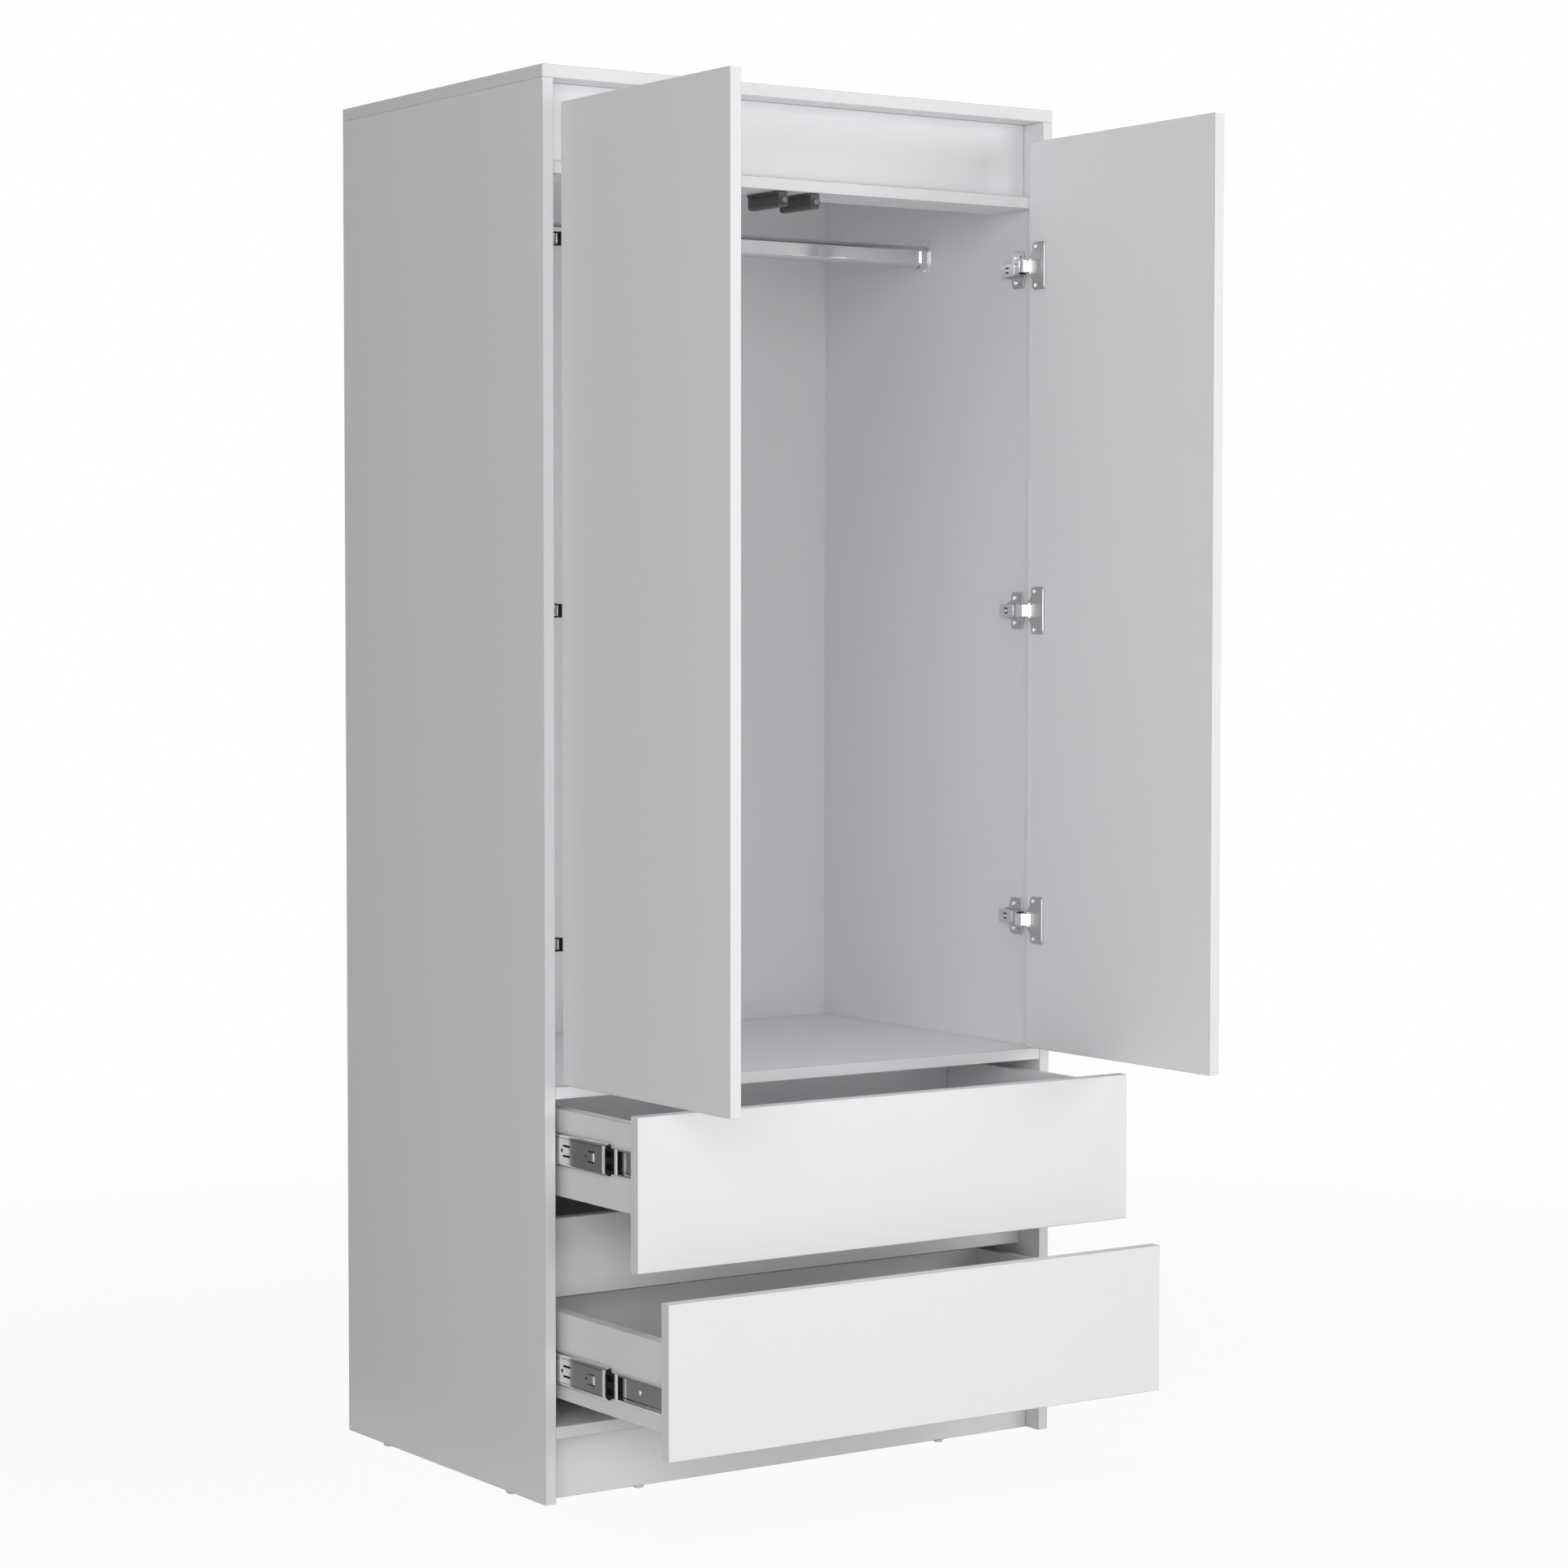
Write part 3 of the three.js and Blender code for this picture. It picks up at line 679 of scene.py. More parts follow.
panelFace = boardThickness / mm + 0.3      # where fittings on a side panel start
hinge = {
    "plateThickness": 2.4, "plateFillet": 2.5,
    "plateOutline": [(36.5, -9), (39.5, -25), (61.5, -25), (64, -21), (64, -12.5), (80.5, -7.5),
                     (80.5, 7.5), (64, 12.5), (64, 21), (61.5, 25), (39.5, 25), (36.5, 9)],
    "plateScrews": [(55.8, 17), (55.8, -17)], "plateHoles": [(44.0, 17.5), (44.0, -17.5)],
    "screw": (3.3, 1.5), "holeRadius": 2.1,              # a screw head's radius and height
    "saddleY": [39, 40.5, 76, 77.5], "saddleWide": [3.6, 5.2, 5.2, 3.6], "saddleTall": [9, 10.6, 10.6, 9],
    "saddleMiddle": 4.2, "saddleRadius": 1.6,
    "cover": (43.0, 79.0), "coverTop": (31.6, 27.0), "coverHalf": 8.6, "coverFillet": 3.2,
    "sheet": 1.3, "cheek": [(20.2, 46), (23.2, 35), (32.0, 35)], "cheekLow": 20.2, "cheekDrop": 0.4,
    "slotPlace": 62.0, "slotSize": (10.0, 1.7), "slotSpread": 3.1, "fixingRadius": 1.9,
    # the plate of painted shade under the slots: its width, height and thickness, and its drop under the
    # cover
    "shade": (13.0, 11.0, 0.4), "shadeDrop": 2.6,
    "noseY": [19.4, 20.2, 22.5, 27, 34, 40, 47], "noseLow": [28.2, 27.0, 25.4, 23.9, 22.6, 22.0, 21.8],
    "noseTop": [30.2, 31.2, 31.8, 31.8, 31.6, 31.4, 30.4],
    "noseTall": [8.0, 10, 11.4, 12.0, 13.0, 15.2, 15.2], "noseRadius": 1.1,
    "pivot": (30.5, 22.5), "pin": (1.9, 9.6),
    "linkPath": [(37.0, 22.6), (44.0, 17.6), (50.2, 11.0), (54.4, 3.6), (55.4, -3.2), (53.0, -7.6),
                 (48.0, -9.3)],
    "linkHalf": [9.0, 8.8, 8.6, 8.4, 8.4, 8.2, 8.2], "linkThickness": 2.2, "linkRadius": 0.8,
    "core": [(34.6, 22.4), (33.4, 20.6), (33.4, 18.2), (40.0, 11.0), (43.5, 14.5), (38.2, 23.6)],
    "coreHalf": 7.4,
    "ear": [(-3.0, 0.4), (-1.6, -2.8), (6.0, -7.4), (11.0, -11.0), (12.4, -9.4), (8.4, 0.4), (2.4, 3.0)],
    "earThickness": 1.9, "earInner": 6.7,
}


def onSide(hand, height, depth=frontPlane):
    # dresses parts drawn as (x inwards, y back, z up); height and depth in metres
    side = hands[hand]
    return dresser((side * halfWidth, depth, height), (-side, 0, 0), (0, 1, 0), (0, 0, 1))


def hingeHeight(level):
    low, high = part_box(f"left_{level}_hinge_arm")
    return (low.z + high.z) / 2


def mountingPlate():
    # drawn in (y, z), thickness along x; a rounded saddle carries the arm
    holes = [circle(hinge["holeRadius"], at) for at in hinge["plateScrews"] + hinge["plateHoles"]]
    outline = filleted(hinge["plateOutline"], hinge["plateFillet"])
    plate = acrossX(stamped(outline, holes, hinge["plateThickness"], 0.5, 2))
    middle = (panelFace + hinge["saddleMiddle"], 0)
    saddle = bar(hinge["saddleY"], [middle] * 4, hinge["saddleWide"], hinge["saddleTall"],
                 hinge["saddleRadius"], (1, 0, 2))
    return [moved(plate, x=panelFace), saddle]


def hingeArm():
    # a sloping cover with its slots, two cheeks, a solid nose for the pin, and a near-black plate under the
    # slots as painted shade
    start, end = hinge["cover"]
    topStart, topEnd = hinge["coverTop"]
    slope = math.atan2(topStart - topEnd, end - start)
    length = (end - start) / math.cos(slope)
    half, sheet = hinge["coverHalf"], hinge["sheet"]
    slotAt = (hinge["slotPlace"] - start) / math.cos(slope)
    outline = filleted([(0, -half), (length, -half), (length, half), (0, half)], hinge["coverFillet"])
    long, tall = hinge["slotSize"]
    slots = [roundedRect(long, tall, tall / 2.1, (slotAt, z * hinge["slotSpread"])) for z in (1, -1)]
    cover = moved(stamped(outline, slots, sheet, 0.35, 2), z=-sheet)
    fixing = moved(screwHead(hinge["fixingRadius"], 0.7, 0.2), slotAt, 0, -0.1)
    # painted shade: a near-black plate under the cover shows through the slots as the dark inside of the arm
    wide, high, thick = hinge["shade"]
    shade = moved(stamped(roundedRect(wide, high, 2, (slotAt, 0)), (), thick, 0.1), z=-hinge["shadeDrop"])
    down = (-math.sin(slope), math.cos(slope), 0)       # down the slope, and out of it
    out = (math.cos(slope), math.sin(slope), 0)
    tilt = lambda part: (np.array([topStart, start, 0]) + part[0] @ np.array([down, (0, 0, 1), out]), part[1])

    drop = hinge["cheekDrop"]
    cheekOutline = [(hinge["cheekLow"], end), *hinge["cheek"], (topStart - drop, start), (topEnd - drop, end)]
    cheek = stamped(filleted(cheekOutline, 1.5), (), sheet, 0.3)
    low, top = np.array(hinge["noseLow"]), np.array(hinge["noseTop"])
    nose = bar(hinge["noseY"], np.column_stack([(low + top) / 2, low * 0]), top - low, hinge["noseTall"],
               hinge["noseRadius"], (1, 0, 2))
    steel = [moved(cheek, z=half - sheet), moved(cheek, z=-half), nose]
    return steel, [tilt(cover), tilt(fixing)], [tilt(shade)]


def linkPlate():
    # a cranked plate: a path from the arm's nose to the cup carries a flat section
    path = np.array(hinge["linkPath"], float)
    steps = np.linspace(0, len(path) - 1, 34)
    knots = np.arange(len(path))
    middle = np.column_stack([np.interp(steps, knots, path[:, i]) for i in (0, 1)])
    for _ in range(6):      # each point goes halfway to its neighbours' middle
        middle[1:-1] = (middle[:-2] + 2 * middle[1:-1] + middle[2:]) / 4
    half = np.interp(steps, knots, hinge["linkHalf"])
    heading = np.gradient(middle, axis=0)
    heading /= np.linalg.norm(heading, axis=1)[:, None]
    outward = np.column_stack([-heading[:, 1], heading[:, 0]])
    thickness = np.full(len(steps), hinge["linkThickness"])
    across, up = easedSection(thickness, 2 * half, hinge["linkRadius"])
    flat = middle[:, None, :] + outward[:, None, :] * across[..., None]
    return ringStack(np.concatenate([flat, up[..., None]], -1))


def linkCore():
    # the black block in the link, and an ear on each side of the arm's nose
    thickness, inner = hinge["earThickness"], hinge["earInner"]
    ear = stamped(filleted(np.add(hinge["ear"], hinge["pivot"]), 1.8), (), thickness, 0.4, 2)
    core = stamped(filleted(hinge["core"], 0.8), (), 2 * hinge["coreHalf"], 0.4)
    return [moved(ear, z=inner), moved(ear, z=-inner - thickness), moved(core, z=-hinge["coreHalf"])]


def pinPart(radius, half):
    # a rivet along z with a domed head at each end
    dome = [(radius + 0.9, 0), (radius + 0.7, 0.5), (radius, 0.9), (0, 1.0)]
    upper = [(radius, half - 0.9)] + [(r, half - 0.9 + z) for r, z in dome]
    return turned([(r, -z) for r, z in reversed(upper)] + upper, 28)


def makeHingeArms():
    steel, covers, shades = hingeArm()
    plates = mountingPlate()
    face = panelFace + hinge["plateThickness"] - 0.2
    screws = [sideScrew(*hinge["screw"], face, y, z) for y, z in hinge["plateScrews"]]
    link, cores = [linkPlate()], linkCore()
    pins = [moved(pinPart(*hinge["pin"]), *hinge["pivot"])]
    for hand in hands:
        for level in levels:
            wear = onSide(hand, hingeHeight(level))
            name = f"{hand}_{level}"
            arm = wear(steel, "nickel") + wear(covers, "tongue") + wear(shades, "recess")
            makePiece(f"{name}_arm", arm, "carcass", [f"{name}_hinge_arm"])
            makePiece(f"{name}_mounting_plate", wear(plates, "nickel"), "carcass")
            makePiece(f"{name}_arm_screws", wear(screws, "screw"), "carcass")
            makePiece(f"{name}_link", wear(link, "link") + wear(cores, "black"), f"{hand}_hinge_links",
                      [f"{name}_hinge_link"] if level == "middle" else [])
            makePiece(f"{name}_link_pin", wear(pins, "nickel"), "carcass")


# hinge cups: door frame, u from the hinge edge, w out of the inner face, z up

cup = {
    "flange": [(37, -32), (37, 32), (13, 32), (9.5, 29), (9.5, 19.5), (2.6, 11.5), (2.6, -11.5), (9.5, -19.5),
               (9.5, -29), (13, -32)],
    "thickness": 1.7, "lift": 0.3, "mouth": (22.4, 18.6), "mouthPlace": 16.6,
    "screws": [(16.6, 26), (16.6, -26)], "screw": (3.0, 1.3), "holeRadius": 1.9,
    "centre": 19.5, "radius": 17.2, "depth": 11.8, "wall": 1.2, "rim": 0.5,
    "ridge": (31.2, 36.2), "ridgeTop": 3.1, "ridgeHalf": 30, "ridgeRadius": 0.9,
    "tongue": (5.8, 27.5), "tongueHalf": 9.3, "tongueTop": 1.5, "tongueFoot": -4.0,
    "crown": 3.2, "crownAt": 0.45,
    "cheekReach": (3.2, 10.5), "cheekTop": 3.4, "cheekThickness": 1.3, "cheekInner": 9.0,
    "pin": (1.2, 10.6), "pinPlace": (6.8, 3.4),
    "knuckle": [(3.6, 0.4), (9.7, 0.4), (7.3, 6.3), (6.2, 6.9), (4.4, 6.5), (3.6, 5.4)], "knuckleHalf": 7.8,
}


def cupBowl():
    # a wall and a floor of even thickness
    radius, depth, wall, rim = cup["radius"], cup["depth"], cup["wall"], cup["rim"]
    outside = [(0, -depth), (radius - 1, -depth), (radius, 1 - depth), (radius, rim)]
    inside = [(radius - wall, rim), (radius - wall, wall + 1.4 - depth), (radius - wall - 1.4, wall - depth),
              (0, wall - depth)]
    return moved(turned(outside + inside, 48), cup["centre"])


def cupTongue():
    # w = top - crown (s - crownAt)^2 - v^4 / 2, s from 0 to 1 along it and v from -1 to 1 across
    start, end = cup["tongue"]
    u, v = np.meshgrid(np.linspace(start, end, 13), np.linspace(-1, 1, 17), indexing="ij")
    w = cup["tongueTop"] - cup["crown"] * ((u - start) / (end - start) - cup["crownAt"]) ** 2 - 0.5 * v ** 4
    upper = np.stack([u, v * cup["tongueHalf"], w], -1)
    lower = upper * (1, 1, 0) + (0, 0, cup["tongueFoot"])
    return ringStack(np.concatenate([upper, lower[:, ::-1]], 1))


def hingeCup():
    # drawn as (u, z, w): a flange with a mouth, the bowl, a rolled ridge, two cheeks and a tongue
    holes = [roundedRect(*cup["mouth"], 5, (cup["mouthPlace"], 0))]
    holes += [circle(cup["holeRadius"], at) for at in cup["screws"]]
    flange = moved(stamped(filleted(cup["flange"], 2.2), holes, cup["thickness"], 0.45, 2), z=cup["lift"])
    near, far = cup["ridge"]
    wide, top, end = far - near, cup["ridgeTop"], cup["ridgeHalf"]
    ridge = strip(end, ((near + far) / 2, top / 2 + 0.5), (wide - 1.6, wide), (top - 2, top - 1),
                  cup["ridgeRadius"], (1, 0, 2))
    low, high = cup["cheekReach"]
    rise, thickness, inner = cup["cheekTop"], cup["cheekThickness"], cup["cheekInner"]
    cheekShape = [(low, 0.4), (high, 0.4), (high - 2, rise), (low + 5, rise), (low + 1, rise - 0.6)]
    cheek = acrossY(stamped(filleted(cheekShape, 1.2), (), thickness, 0.3))
    cheeks = [moved(cheek, y=inner), moved(cheek, y=-inner - thickness)]
    pinAt, pinHeight = cup["pinPlace"]
    pin = moved(acrossY(pinPart(*cup["pin"])), pinAt, 0, pinHeight)
    half = cup["knuckleHalf"]
    knuckle = moved(acrossY(stamped(filleted(cup["knuckle"], 0.8), (), 2 * half, 0.3)), y=-half)
    return [flange, cupBowl(), ridge, *cheeks], [cupTongue()], [knuckle], [pin]


def makeHingeCups():
    steel, tongues, knuckles, pins = hingeCup()
    lift = cup["thickness"] + 0.1
    screws = [moved(screwHead(*cup["screw"]), u, z, lift) for u, z in cup["screws"]]
    for hand, side in hands.items():
        low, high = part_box(f"{hand}_door")
        innerFace = high.x if hand == "left" else low.x
        for level in levels:
            wear = dresser((innerFace, high.y, hingeHeight(level)), (0, -1, 0), (0, 0, 1), (-side, 0, 0))
            name, door = f"{hand}_{level}", f"{hand}_door"
            dressed = wear(steel, "nickel") + wear(tongues, "tongue")
            dressed += wear(knuckles, "link") + wear(pins, "screw")
            makePiece(f"{name}_cup", dressed, door, [f"{name}_hinge_cup"])
            makePiece(f"{name}_cup_screws", wear(screws, "screw"), door)


makeHingeArms()
makeHingeCups()
print("hinges made")


# drawer slides: each member fills its CAD box, with rolled lips and a pierced web

slide = {
    "sheet": 1.2, "shoulder": 3.6, "curl": {"cabinet": 0.5, "middle": 2.2, "drawer": 2.0},
    "lip": {"cabinet": 1.2, "middle": 3.4, "drawer": 3.2},
    # from the front plane at rest: the slots' start, end, height and width; the eyes' place and radius
    "slots": [(-31.0, -13.0, 6.4, 2.6), (-88.5, -72.5, 6.6, 1.8)], "eyes": [(-10.8, 2.4), (-68.5, 1.9)],
    "cutBack": 3.0, "ridge": 5.8, "tab": (-87.0, 4.0, 10.5),
    "screwPitch": 128.0, "screwStart": {"cabinet": 35, "drawer": 60},
    "screwHole": {"cabinet": 2.3, "drawer": 2.2}, "screwHead": {"cabinet": (3.4, 1.0), "drawer": (3.0, 0.9)},
    # from the middle member's front end: back and front of the catch, and of the bar before it
    "stop": (8.0, -16.2), "bar": (-16.4, -21.4),
}


def channelProfile(web, reach, half, shoulder, curl, lip, sheet):
    # one rolled edge in (x, z): web, shoulder, flat, curl and return, as a line offset to a sheet
    q = np.linspace(0, math.pi / 2, 7)
    sign = math.copysign(1, reach - web)
    tip = reach - sign * sheet / 2
    top = half - sheet / 2
    base = web + sign * sheet / 2
    first = np.column_stack([base + sign * shoulder * (1 - np.cos(q)), top - shoulder + shoulder * np.sin(q)])
    second = np.column_stack([tip - sign * curl + sign * curl * np.sin(q), top - curl + curl * np.cos(q)])
    line = np.vstack([[(base, half - shoulder - 2.4)], first, second, [(tip, half - lip)]])
    heading = np.gradient(line, axis=0)
    heading /= np.linalg.norm(heading, axis=1)[:, None]
    normal = np.column_stack([-heading[:, 1], heading[:, 0]]) * sheet / 2
    return np.vstack([line + normal, (line - normal)[::-1]])


def sweptAlongY(outline, start, end):
    # an outline in (x, z) carried straight along y
    x, z = outline.T
    return ringStack(np.stack([np.column_stack([x, np.full(len(x), y), z]) for y in (start, end)]))


def slideMember(member, x, y, half, holes=(), cutBack=0.0):
    # two rolled edges and a web; x gives the web and the edges' reach, y both ends
    (web, reach), (start, end) = x, y
    sheet, shoulder = slide["sheet"], slide["shoulder"]
    profile = channelProfile(web, reach, half, shoulder, slide["curl"][member], slide["lip"][member], sheet)
    edges = [sweptAlongY(profile * (1, sign), start, end) for sign in (1, -1)]
    flat = half - shoulder - 0.4
    outline = np.array([(start + cutBack, -flat), (end, -flat), (end, flat), (start + cutBack, flat)])
    face = web if reach > web else web - sheet
    return edges + [moved(acrossX(stamped(outline, holes, sheet, 0.12)), x=face)]


def middleHoles():
    # two pairs of slots and two eyes, drawn in (y, z)
    cuts = [roundedRect(far - near, tall, tall / 2.2, ((near + far) / 2, z * high))
            for near, far, high, tall in slide["slots"] for z in (1, -1)]
    return cuts + [circle(radius, (y, 0), 16) for y, radius in slide["eyes"]]


def screwRow(member, front):
    # where the three screws of a cabinet or drawer member sit along y
    return [front + slide["screwStart"][member] + slide["screwPitch"] * i for i in range(3)]


def memberBox(level, hand, member):
    # a member's CAD box from the outer side face and the front plane, in millimetres, and its dresser
    low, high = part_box(f"{level}_{hand}_slide_{member}_member")
    x = sorted(abs(abs(value) - halfWidth) / mm for value in (low.x, high.x))
    y = [(value - frontPlane) / mm for value in (low.y, high.y)]
    return x, y, (high.z - low.z) / 2 / mm, onSide(hand, (low.z + high.z) / 2)


def makeSlides():
    for level in ("upper", "lower"):
        for hand in hands:
            front = memberBox(level, hand, "middle")[1][0]
            makeFixedMember(level, hand, "cabinet", "carcass")
            makeMiddleMember(level, hand)
            makeFixedMember(level, hand, "drawer", f"{level}_drawer")
            makeStop(level, hand, front)


def makeFixedMember(level, hand, member, body):
    # the cabinet's member looks inwards, the drawer's outwards
    looks = 1 if member == "cabinet" else -1
    x, y, half, wear = memberBox(level, hand, member)
    holes = [circle(slide["screwHole"][member], (at, 0), 16) for at in screwRow(member, y[0])]
    x = x[::looks]
    name = f"{level}_{hand}_slide_{member}_member"
    channel = slideMember(member, x, y, half, holes)
    makePiece(f"{level}_{hand}_{member}_channel", wear(channel, "zinc"), body, [name])
    face = x[0] + looks * (slide["sheet"] - 0.1)
    screws = [sideScrew(*slide["screwHead"][member], face, at, looks=looks) for at in screwRow(member, y[0])]
    shine = "screw" if member == "cabinet" else "zinc"
    makePiece(f"{level}_{hand}_{member}_screws", wear(screws, shine), body)


def makeMiddleMember(level, hand):
    # a channel with a ridge at its cut-back front end and a tab between its slots
    x, y, half, wear = memberBox(level, hand, "middle")
    channel = slideMember("middle", x, y, half, middleHoles(), slide["cutBack"])
    flat, wide = half - slide["shoulder"], slide["ridge"]
    ridge = strip(flat, (x[0] + 0.5, y[0] + slide["cutBack"] + wide / 2), (1.2, 2), (wide - 1, wide), 0.55,
                  (2, 0, 1))
    place, wide, tall = slide["tab"]
    tab = bar([-tall / 2, 0, tall / 2], [(x[0] + 0.2, place)] * 3, 1.6, [wide - 1, wide, wide - 1], 0.7,
              (2, 0, 1))
    # the ridge and the tab take the painted reflection finish
    makePiece(f"{level}_{hand}_middle_channel", wear(channel, "zinc") + wear([ridge, tab], "bright"),
              f"{level}_slide_members", [f"{level}_{hand}_slide_middle_member"])


def makeStop(level, hand, front):
    x, y, half, wear = memberBox(level, hand, "drawer")
    # the strip in front of the catch takes the painted reflection finish
    stop = wear(slideStop(x, half, front), "black") + wear([stopBar(x, half, front)], "bright")
    makePiece(f"{level}_{hand}_slide_stop", stop, f"{level}_drawer")


def slideStop(x, half, front):
    # the black catch: a windowed block, its backing, and a hook at top and bottom
    inner = half - slide["sheet"] - 0.5
    end, start = (front + place for place in slide["stop"])
    middle, length = (start + end) / 2, end - start
    windows = [roundedRect(length - 9, inner * 0.5, 1.0, (middle - 1, z * inner * 0.5)) for z in (1, -1)]
    outline = roundedRect(length, 2 * inner, 1.5, (middle, 0))
    depth = x[1] - slide["sheet"] - x[0] + 0.6
    block = moved(acrossX(stamped(outline, windows, depth, 0.6, 2)), x=x[0] - 0.9)
    backing = roundedRect(length - 1, 2 * inner - 1, 1.5, (middle, 0))
    backing = moved(acrossX(stamped(backing, (), 1.4, 0.3)), x=x[1] - slide["sheet"] - 2.0)
    hooks = [bar([start + 9, end - 2], [(x[0], z * (inner + 1.0))] * 2, 1.2, 2.8, 0.5, (1, 0, 2))
             for z in (1, -1)]
    return [block, backing, *hooks]


def stopBar(x, half, front):
    # the strip in front of the catch, made bright with painted reflection
    end, start = (front + place for place in slide["bar"])
    inner = half - slide["sheet"] - 0.3
    return strip(inner, (x[0] + 0.2, (start + end) / 2), (1.0, 1.6), (end - start,) * 2, 0.45, (2, 0, 1), 0.8)


makeSlides()
print("slides made")


# hanging rod and its sockets

rodFitting = {
    "wall": 1.0, "plate": (29, 44), "plateThickness": 1.4,
    "cupWall": 2.2, "cupSlack": 0.4, "cupDepth": 14.6, "cupTop": 8.0,
    "screwPlace": 18.2, "screw": (2.6, 1.1), "holeRadius": 1.6,
}


def oval(wide, tall):
    # an upright oval with round ends
    return roundedRect(wide, tall, wide / 2 - 1e-3, steps=17)


def makeRod():
    low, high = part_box("hanging_rod")
    wide, tall = (high.y - low.y) / mm, (high.z - low.z) / mm
    centre = (0, (low.y + high.y) / 2, (low.z + high.z) / 2)
    half, wall = high.x / mm, rodFitting["wall"]
    outer, inner = oval(wide, tall), oval(wide - 2 * wall, tall - 2 * wall)
    ends = [(outer, -half), (outer, half), (inner, half), (inner, -half)]
    rings = np.stack([np.column_stack([np.full(len(loop), x), loop]) for loop, x in ends])
    rod = dresser(centre, *plainAxes)([ringStack(rings, "joined")], "chrome")
    makePiece("polished_rod", rod, "carcass", ["hanging_rod"])
    makeSockets(centre, wide, tall)


def socketCup(wide, tall):
    # a U of even wall, drawn in (y, z), round the rod's foot
    inner = wide / 2 + rodFitting["cupSlack"]
    outer = inner + rodFitting["cupWall"]
    top, foot = rodFitting["cupTop"], (wide - tall) / 2
    q = np.linspace(0, -math.pi, 17)
    inside, outside = (np.column_stack([r * np.cos(q), foot + r * np.sin(q)]) for r in (inner, outer))
    ring = np.vstack([[(inner, top)], inside, [(-inner, top), (-outer, top)], outside[::-1], [(outer, top)]])
    return acrossX(stamped(ring, (), rodFitting["cupDepth"], 0.4, 2))


def makeSockets(centre, wide, tall):
    places = [(0, rodFitting["screwPlace"]), (0, -rodFitting["screwPlace"])]
    holes = [circle(rodFitting["holeRadius"], at, 16) for at in places]
    thickness = rodFitting["plateThickness"]
    plate = moved(acrossX(stamped(oval(*rodFitting["plate"]), holes, thickness, 0.3, 2)), x=panelFace)
    cupPart = moved(socketCup(wide, tall), x=panelFace + 0.3)
    face = panelFace + thickness - 0.1
    screws = [sideScrew(*rodFitting["screw"], face, y, z) for y, z in places]
    for hand in hands:
        wear = onSide(hand, centre[2], centre[1])
        # the socket plate takes the painted reflection finish
        socket = wear([plate], "bright") + wear([cupPart], "chrome")
        makePiece(f"{hand}_socket", socket, "carcass", [f"{hand}_rod_socket"])
        makePiece(f"{hand}_socket_screws", wear(screws, "screw"), "carcass")


makeRod()
print("rod made")


# push latches under the latch rail

latch = {
    "flange": (19.0, 3.2), "flangeFrom": 3.0, "barrel": 14.0, "chamfer": (2.0, 2.6), "bore": 4.7,
    "collar": (6.4, 2.6), "plugPlace": 7.0, "ribs": (3.5, 8.0),
    "screws": [(7.0, 14.0), (-7.0, 60.0)], "screwHead": (2.4, 1.0), "slot": (5.0, 3.4, 1.6),
    "groove": [(5.0, 0.1), (5.3, 0.6), (5.8, 0.6)], "grooveEnd": 6.0, "noseTall": 2.2,
}


def makeLatches():
    for hand in hands:
        low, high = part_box(f"{hand}_latch_housing")
        tipLow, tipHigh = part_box(f"{hand}_latch_plunger")
        axis = ((tipLow.x + tipHigh.x) / 2, (tipLow.z + tipHigh.z) / 2)
        wear = dresser((axis[0], low.y, axis[1]), *plainAxes)
        parts, screws = latchHousing((high.y - low.y) / mm, (high.z - axis[1]) / mm, (low.z - axis[1]) / mm)
        makePiece(f"{hand}_latch_body", wear(parts, "latch"), "carcass",
                  [f"{hand}_latch_housing"])
        makePiece(f"{hand}_latch_screws", wear(screws, "black"), "carcass")
        tip = latchTip((tipHigh.x - tipLow.x) / 2 / mm, (tipHigh.y - tipLow.y) / mm)
        wear = dresser((axis[0], tipLow.y, axis[1]), *plainAxes)
        makePiece(f"{hand}_latch_tip", wear([tip], "tip"), f"{hand}_latch_plunger",
                  [f"{hand}_latch_plunger"])


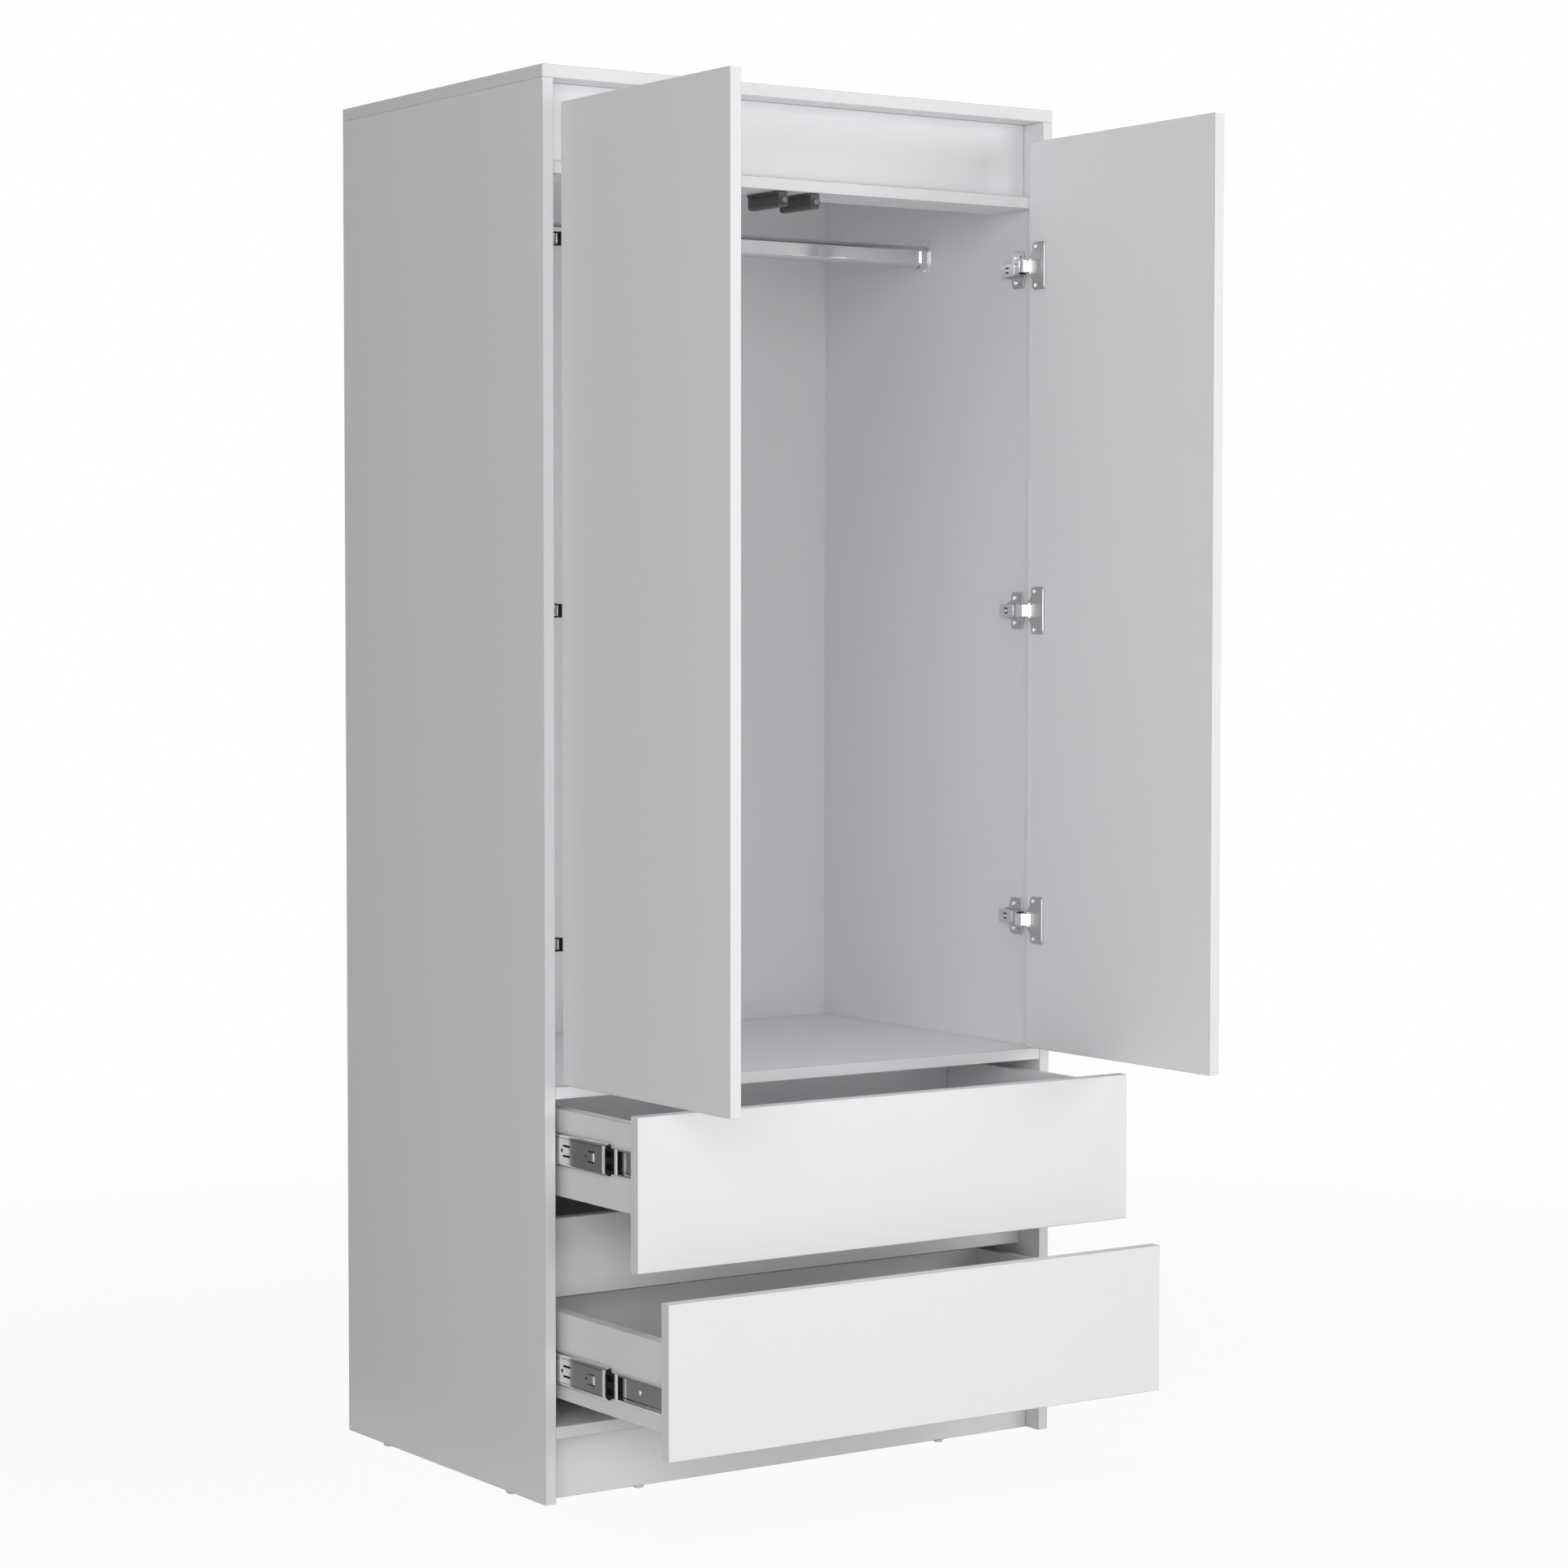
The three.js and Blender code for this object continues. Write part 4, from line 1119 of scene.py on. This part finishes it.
def latchHousing(length, top, bottom):
    # drawn about the plunger's axis, y from the front end: a flange and a barrel below it
    wide, thick = latch["flange"]
    start, bore = latch["flangeFrom"], latch["bore"]
    slots = [roundedRect(*latch["slot"], at) for at in latch["screws"]]
    blank = roundedRect(wide, length - start, 2.5, (0, (length + start) / 2))
    flange = moved(stamped(blank, slots, thick, 0.4, 2), z=top - thick)
    half = latch["barrel"] / 2
    across, rise = latch["chamfer"]
    outline = [(-half, top - 1), (-half, bottom + rise), (across - half, bottom), (half - across, bottom),
               (half, bottom + rise), (half, top - 1)]
    barrel = acrossY(stamped(filleted(outline, 1.0), [circle(bore)], length - 0.3, 0.5, 2))
    ribStart, ribEnd = latch["ribs"]
    ribs = [bar([ribStart, length - ribEnd], [(side * (half + 0.3), z)] * 2, 1.0, 1.2, 0.4, (1, 0, 2))
            for side in (1, -1) for z in (bottom + 5, top - 6.5)]
    radius, proud = latch["collar"]
    collar = acrossY(ringedBand(bore, radius, -proud, 0.6))
    plug = acrossY(turned([(0, 0), (bore + 0.2, 0), (bore + 0.2, 1), (0, 1)]))
    plug = moved(plug, y=length - latch["plugPlace"])
    head = screwHead(*latch["screwHead"])
    screws = [moved((head[0] * (1, 1, -1), head[1]), x, y, top - thick + 0.1) for x, y in latch["screws"]]
    return [flange, barrel, collar, plug, *ribs], screws


def ringedBand(inner, outer, low, high, ease=0.5, sides=40):
    # a closed ring about z: an eased rectangle carried round the axis
    loop = [(inner, high), (inner, low + ease), (inner + ease / 2, low), (outer - ease, low),
            (outer, low + ease), (outer, high)]
    return ringStack(roundAxis(loop, sides), "joined")


def latchTip(radius, length):
    # a sleeve with a groove, and a nose (r, y) = (R sin q, tall (1 - cos q))
    q = np.linspace(0, math.pi / 2, 8)
    inset = latch["groove"][0][1]
    nose = [((radius - inset) * math.sin(a), latch["noseTall"] * (1 - math.cos(a))) for a in q]
    groove = [(radius - deep, y) for y, deep in latch["groove"]]
    return acrossY(turned([*nose, *groove, (radius, latch["grooveEnd"]), (radius, length), (0, length)]))


makeLatches()
print("latches made")


# floor glides: four under the side panels, two under the plinth

glide = {
    "profile": [(0, 0), (4.6, 0), (5.6, 0.25), (6.4, 0.9), (6.9, 1.8), (7.0, 2.8), (6.8, 3.6), (6.0, 4.3),
                (0, 4.3)],
    "plinthInset": 160.0,
}


def makeGlides():
    for hand, side in hands.items():
        for place in ("front", "rear"):
            low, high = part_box(f"{hand}_{place}_glide")
            makeFoot(f"{hand}_{place}_foot", (low.x + high.x) / 2, (low.y + high.y) / 2,
                     [f"{hand}_{place}_glide"])
        low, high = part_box("plinth")
        makeFoot(f"{hand}_plinth_foot", side * (halfWidth - glide["plinthInset"] * mm), (low.y + high.y) / 2)


def makeFoot(name, x, y, standsFor=()):
    foot = dresser((x, y, cadBox[0].z), *plainAxes)([turned(glide["profile"], 40)], "pale")
    makePiece(name, foot, "carcass", standsFor)


makeGlides()
print("glides made")

bpy.context.scene.view_settings.view_transform = "Standard"
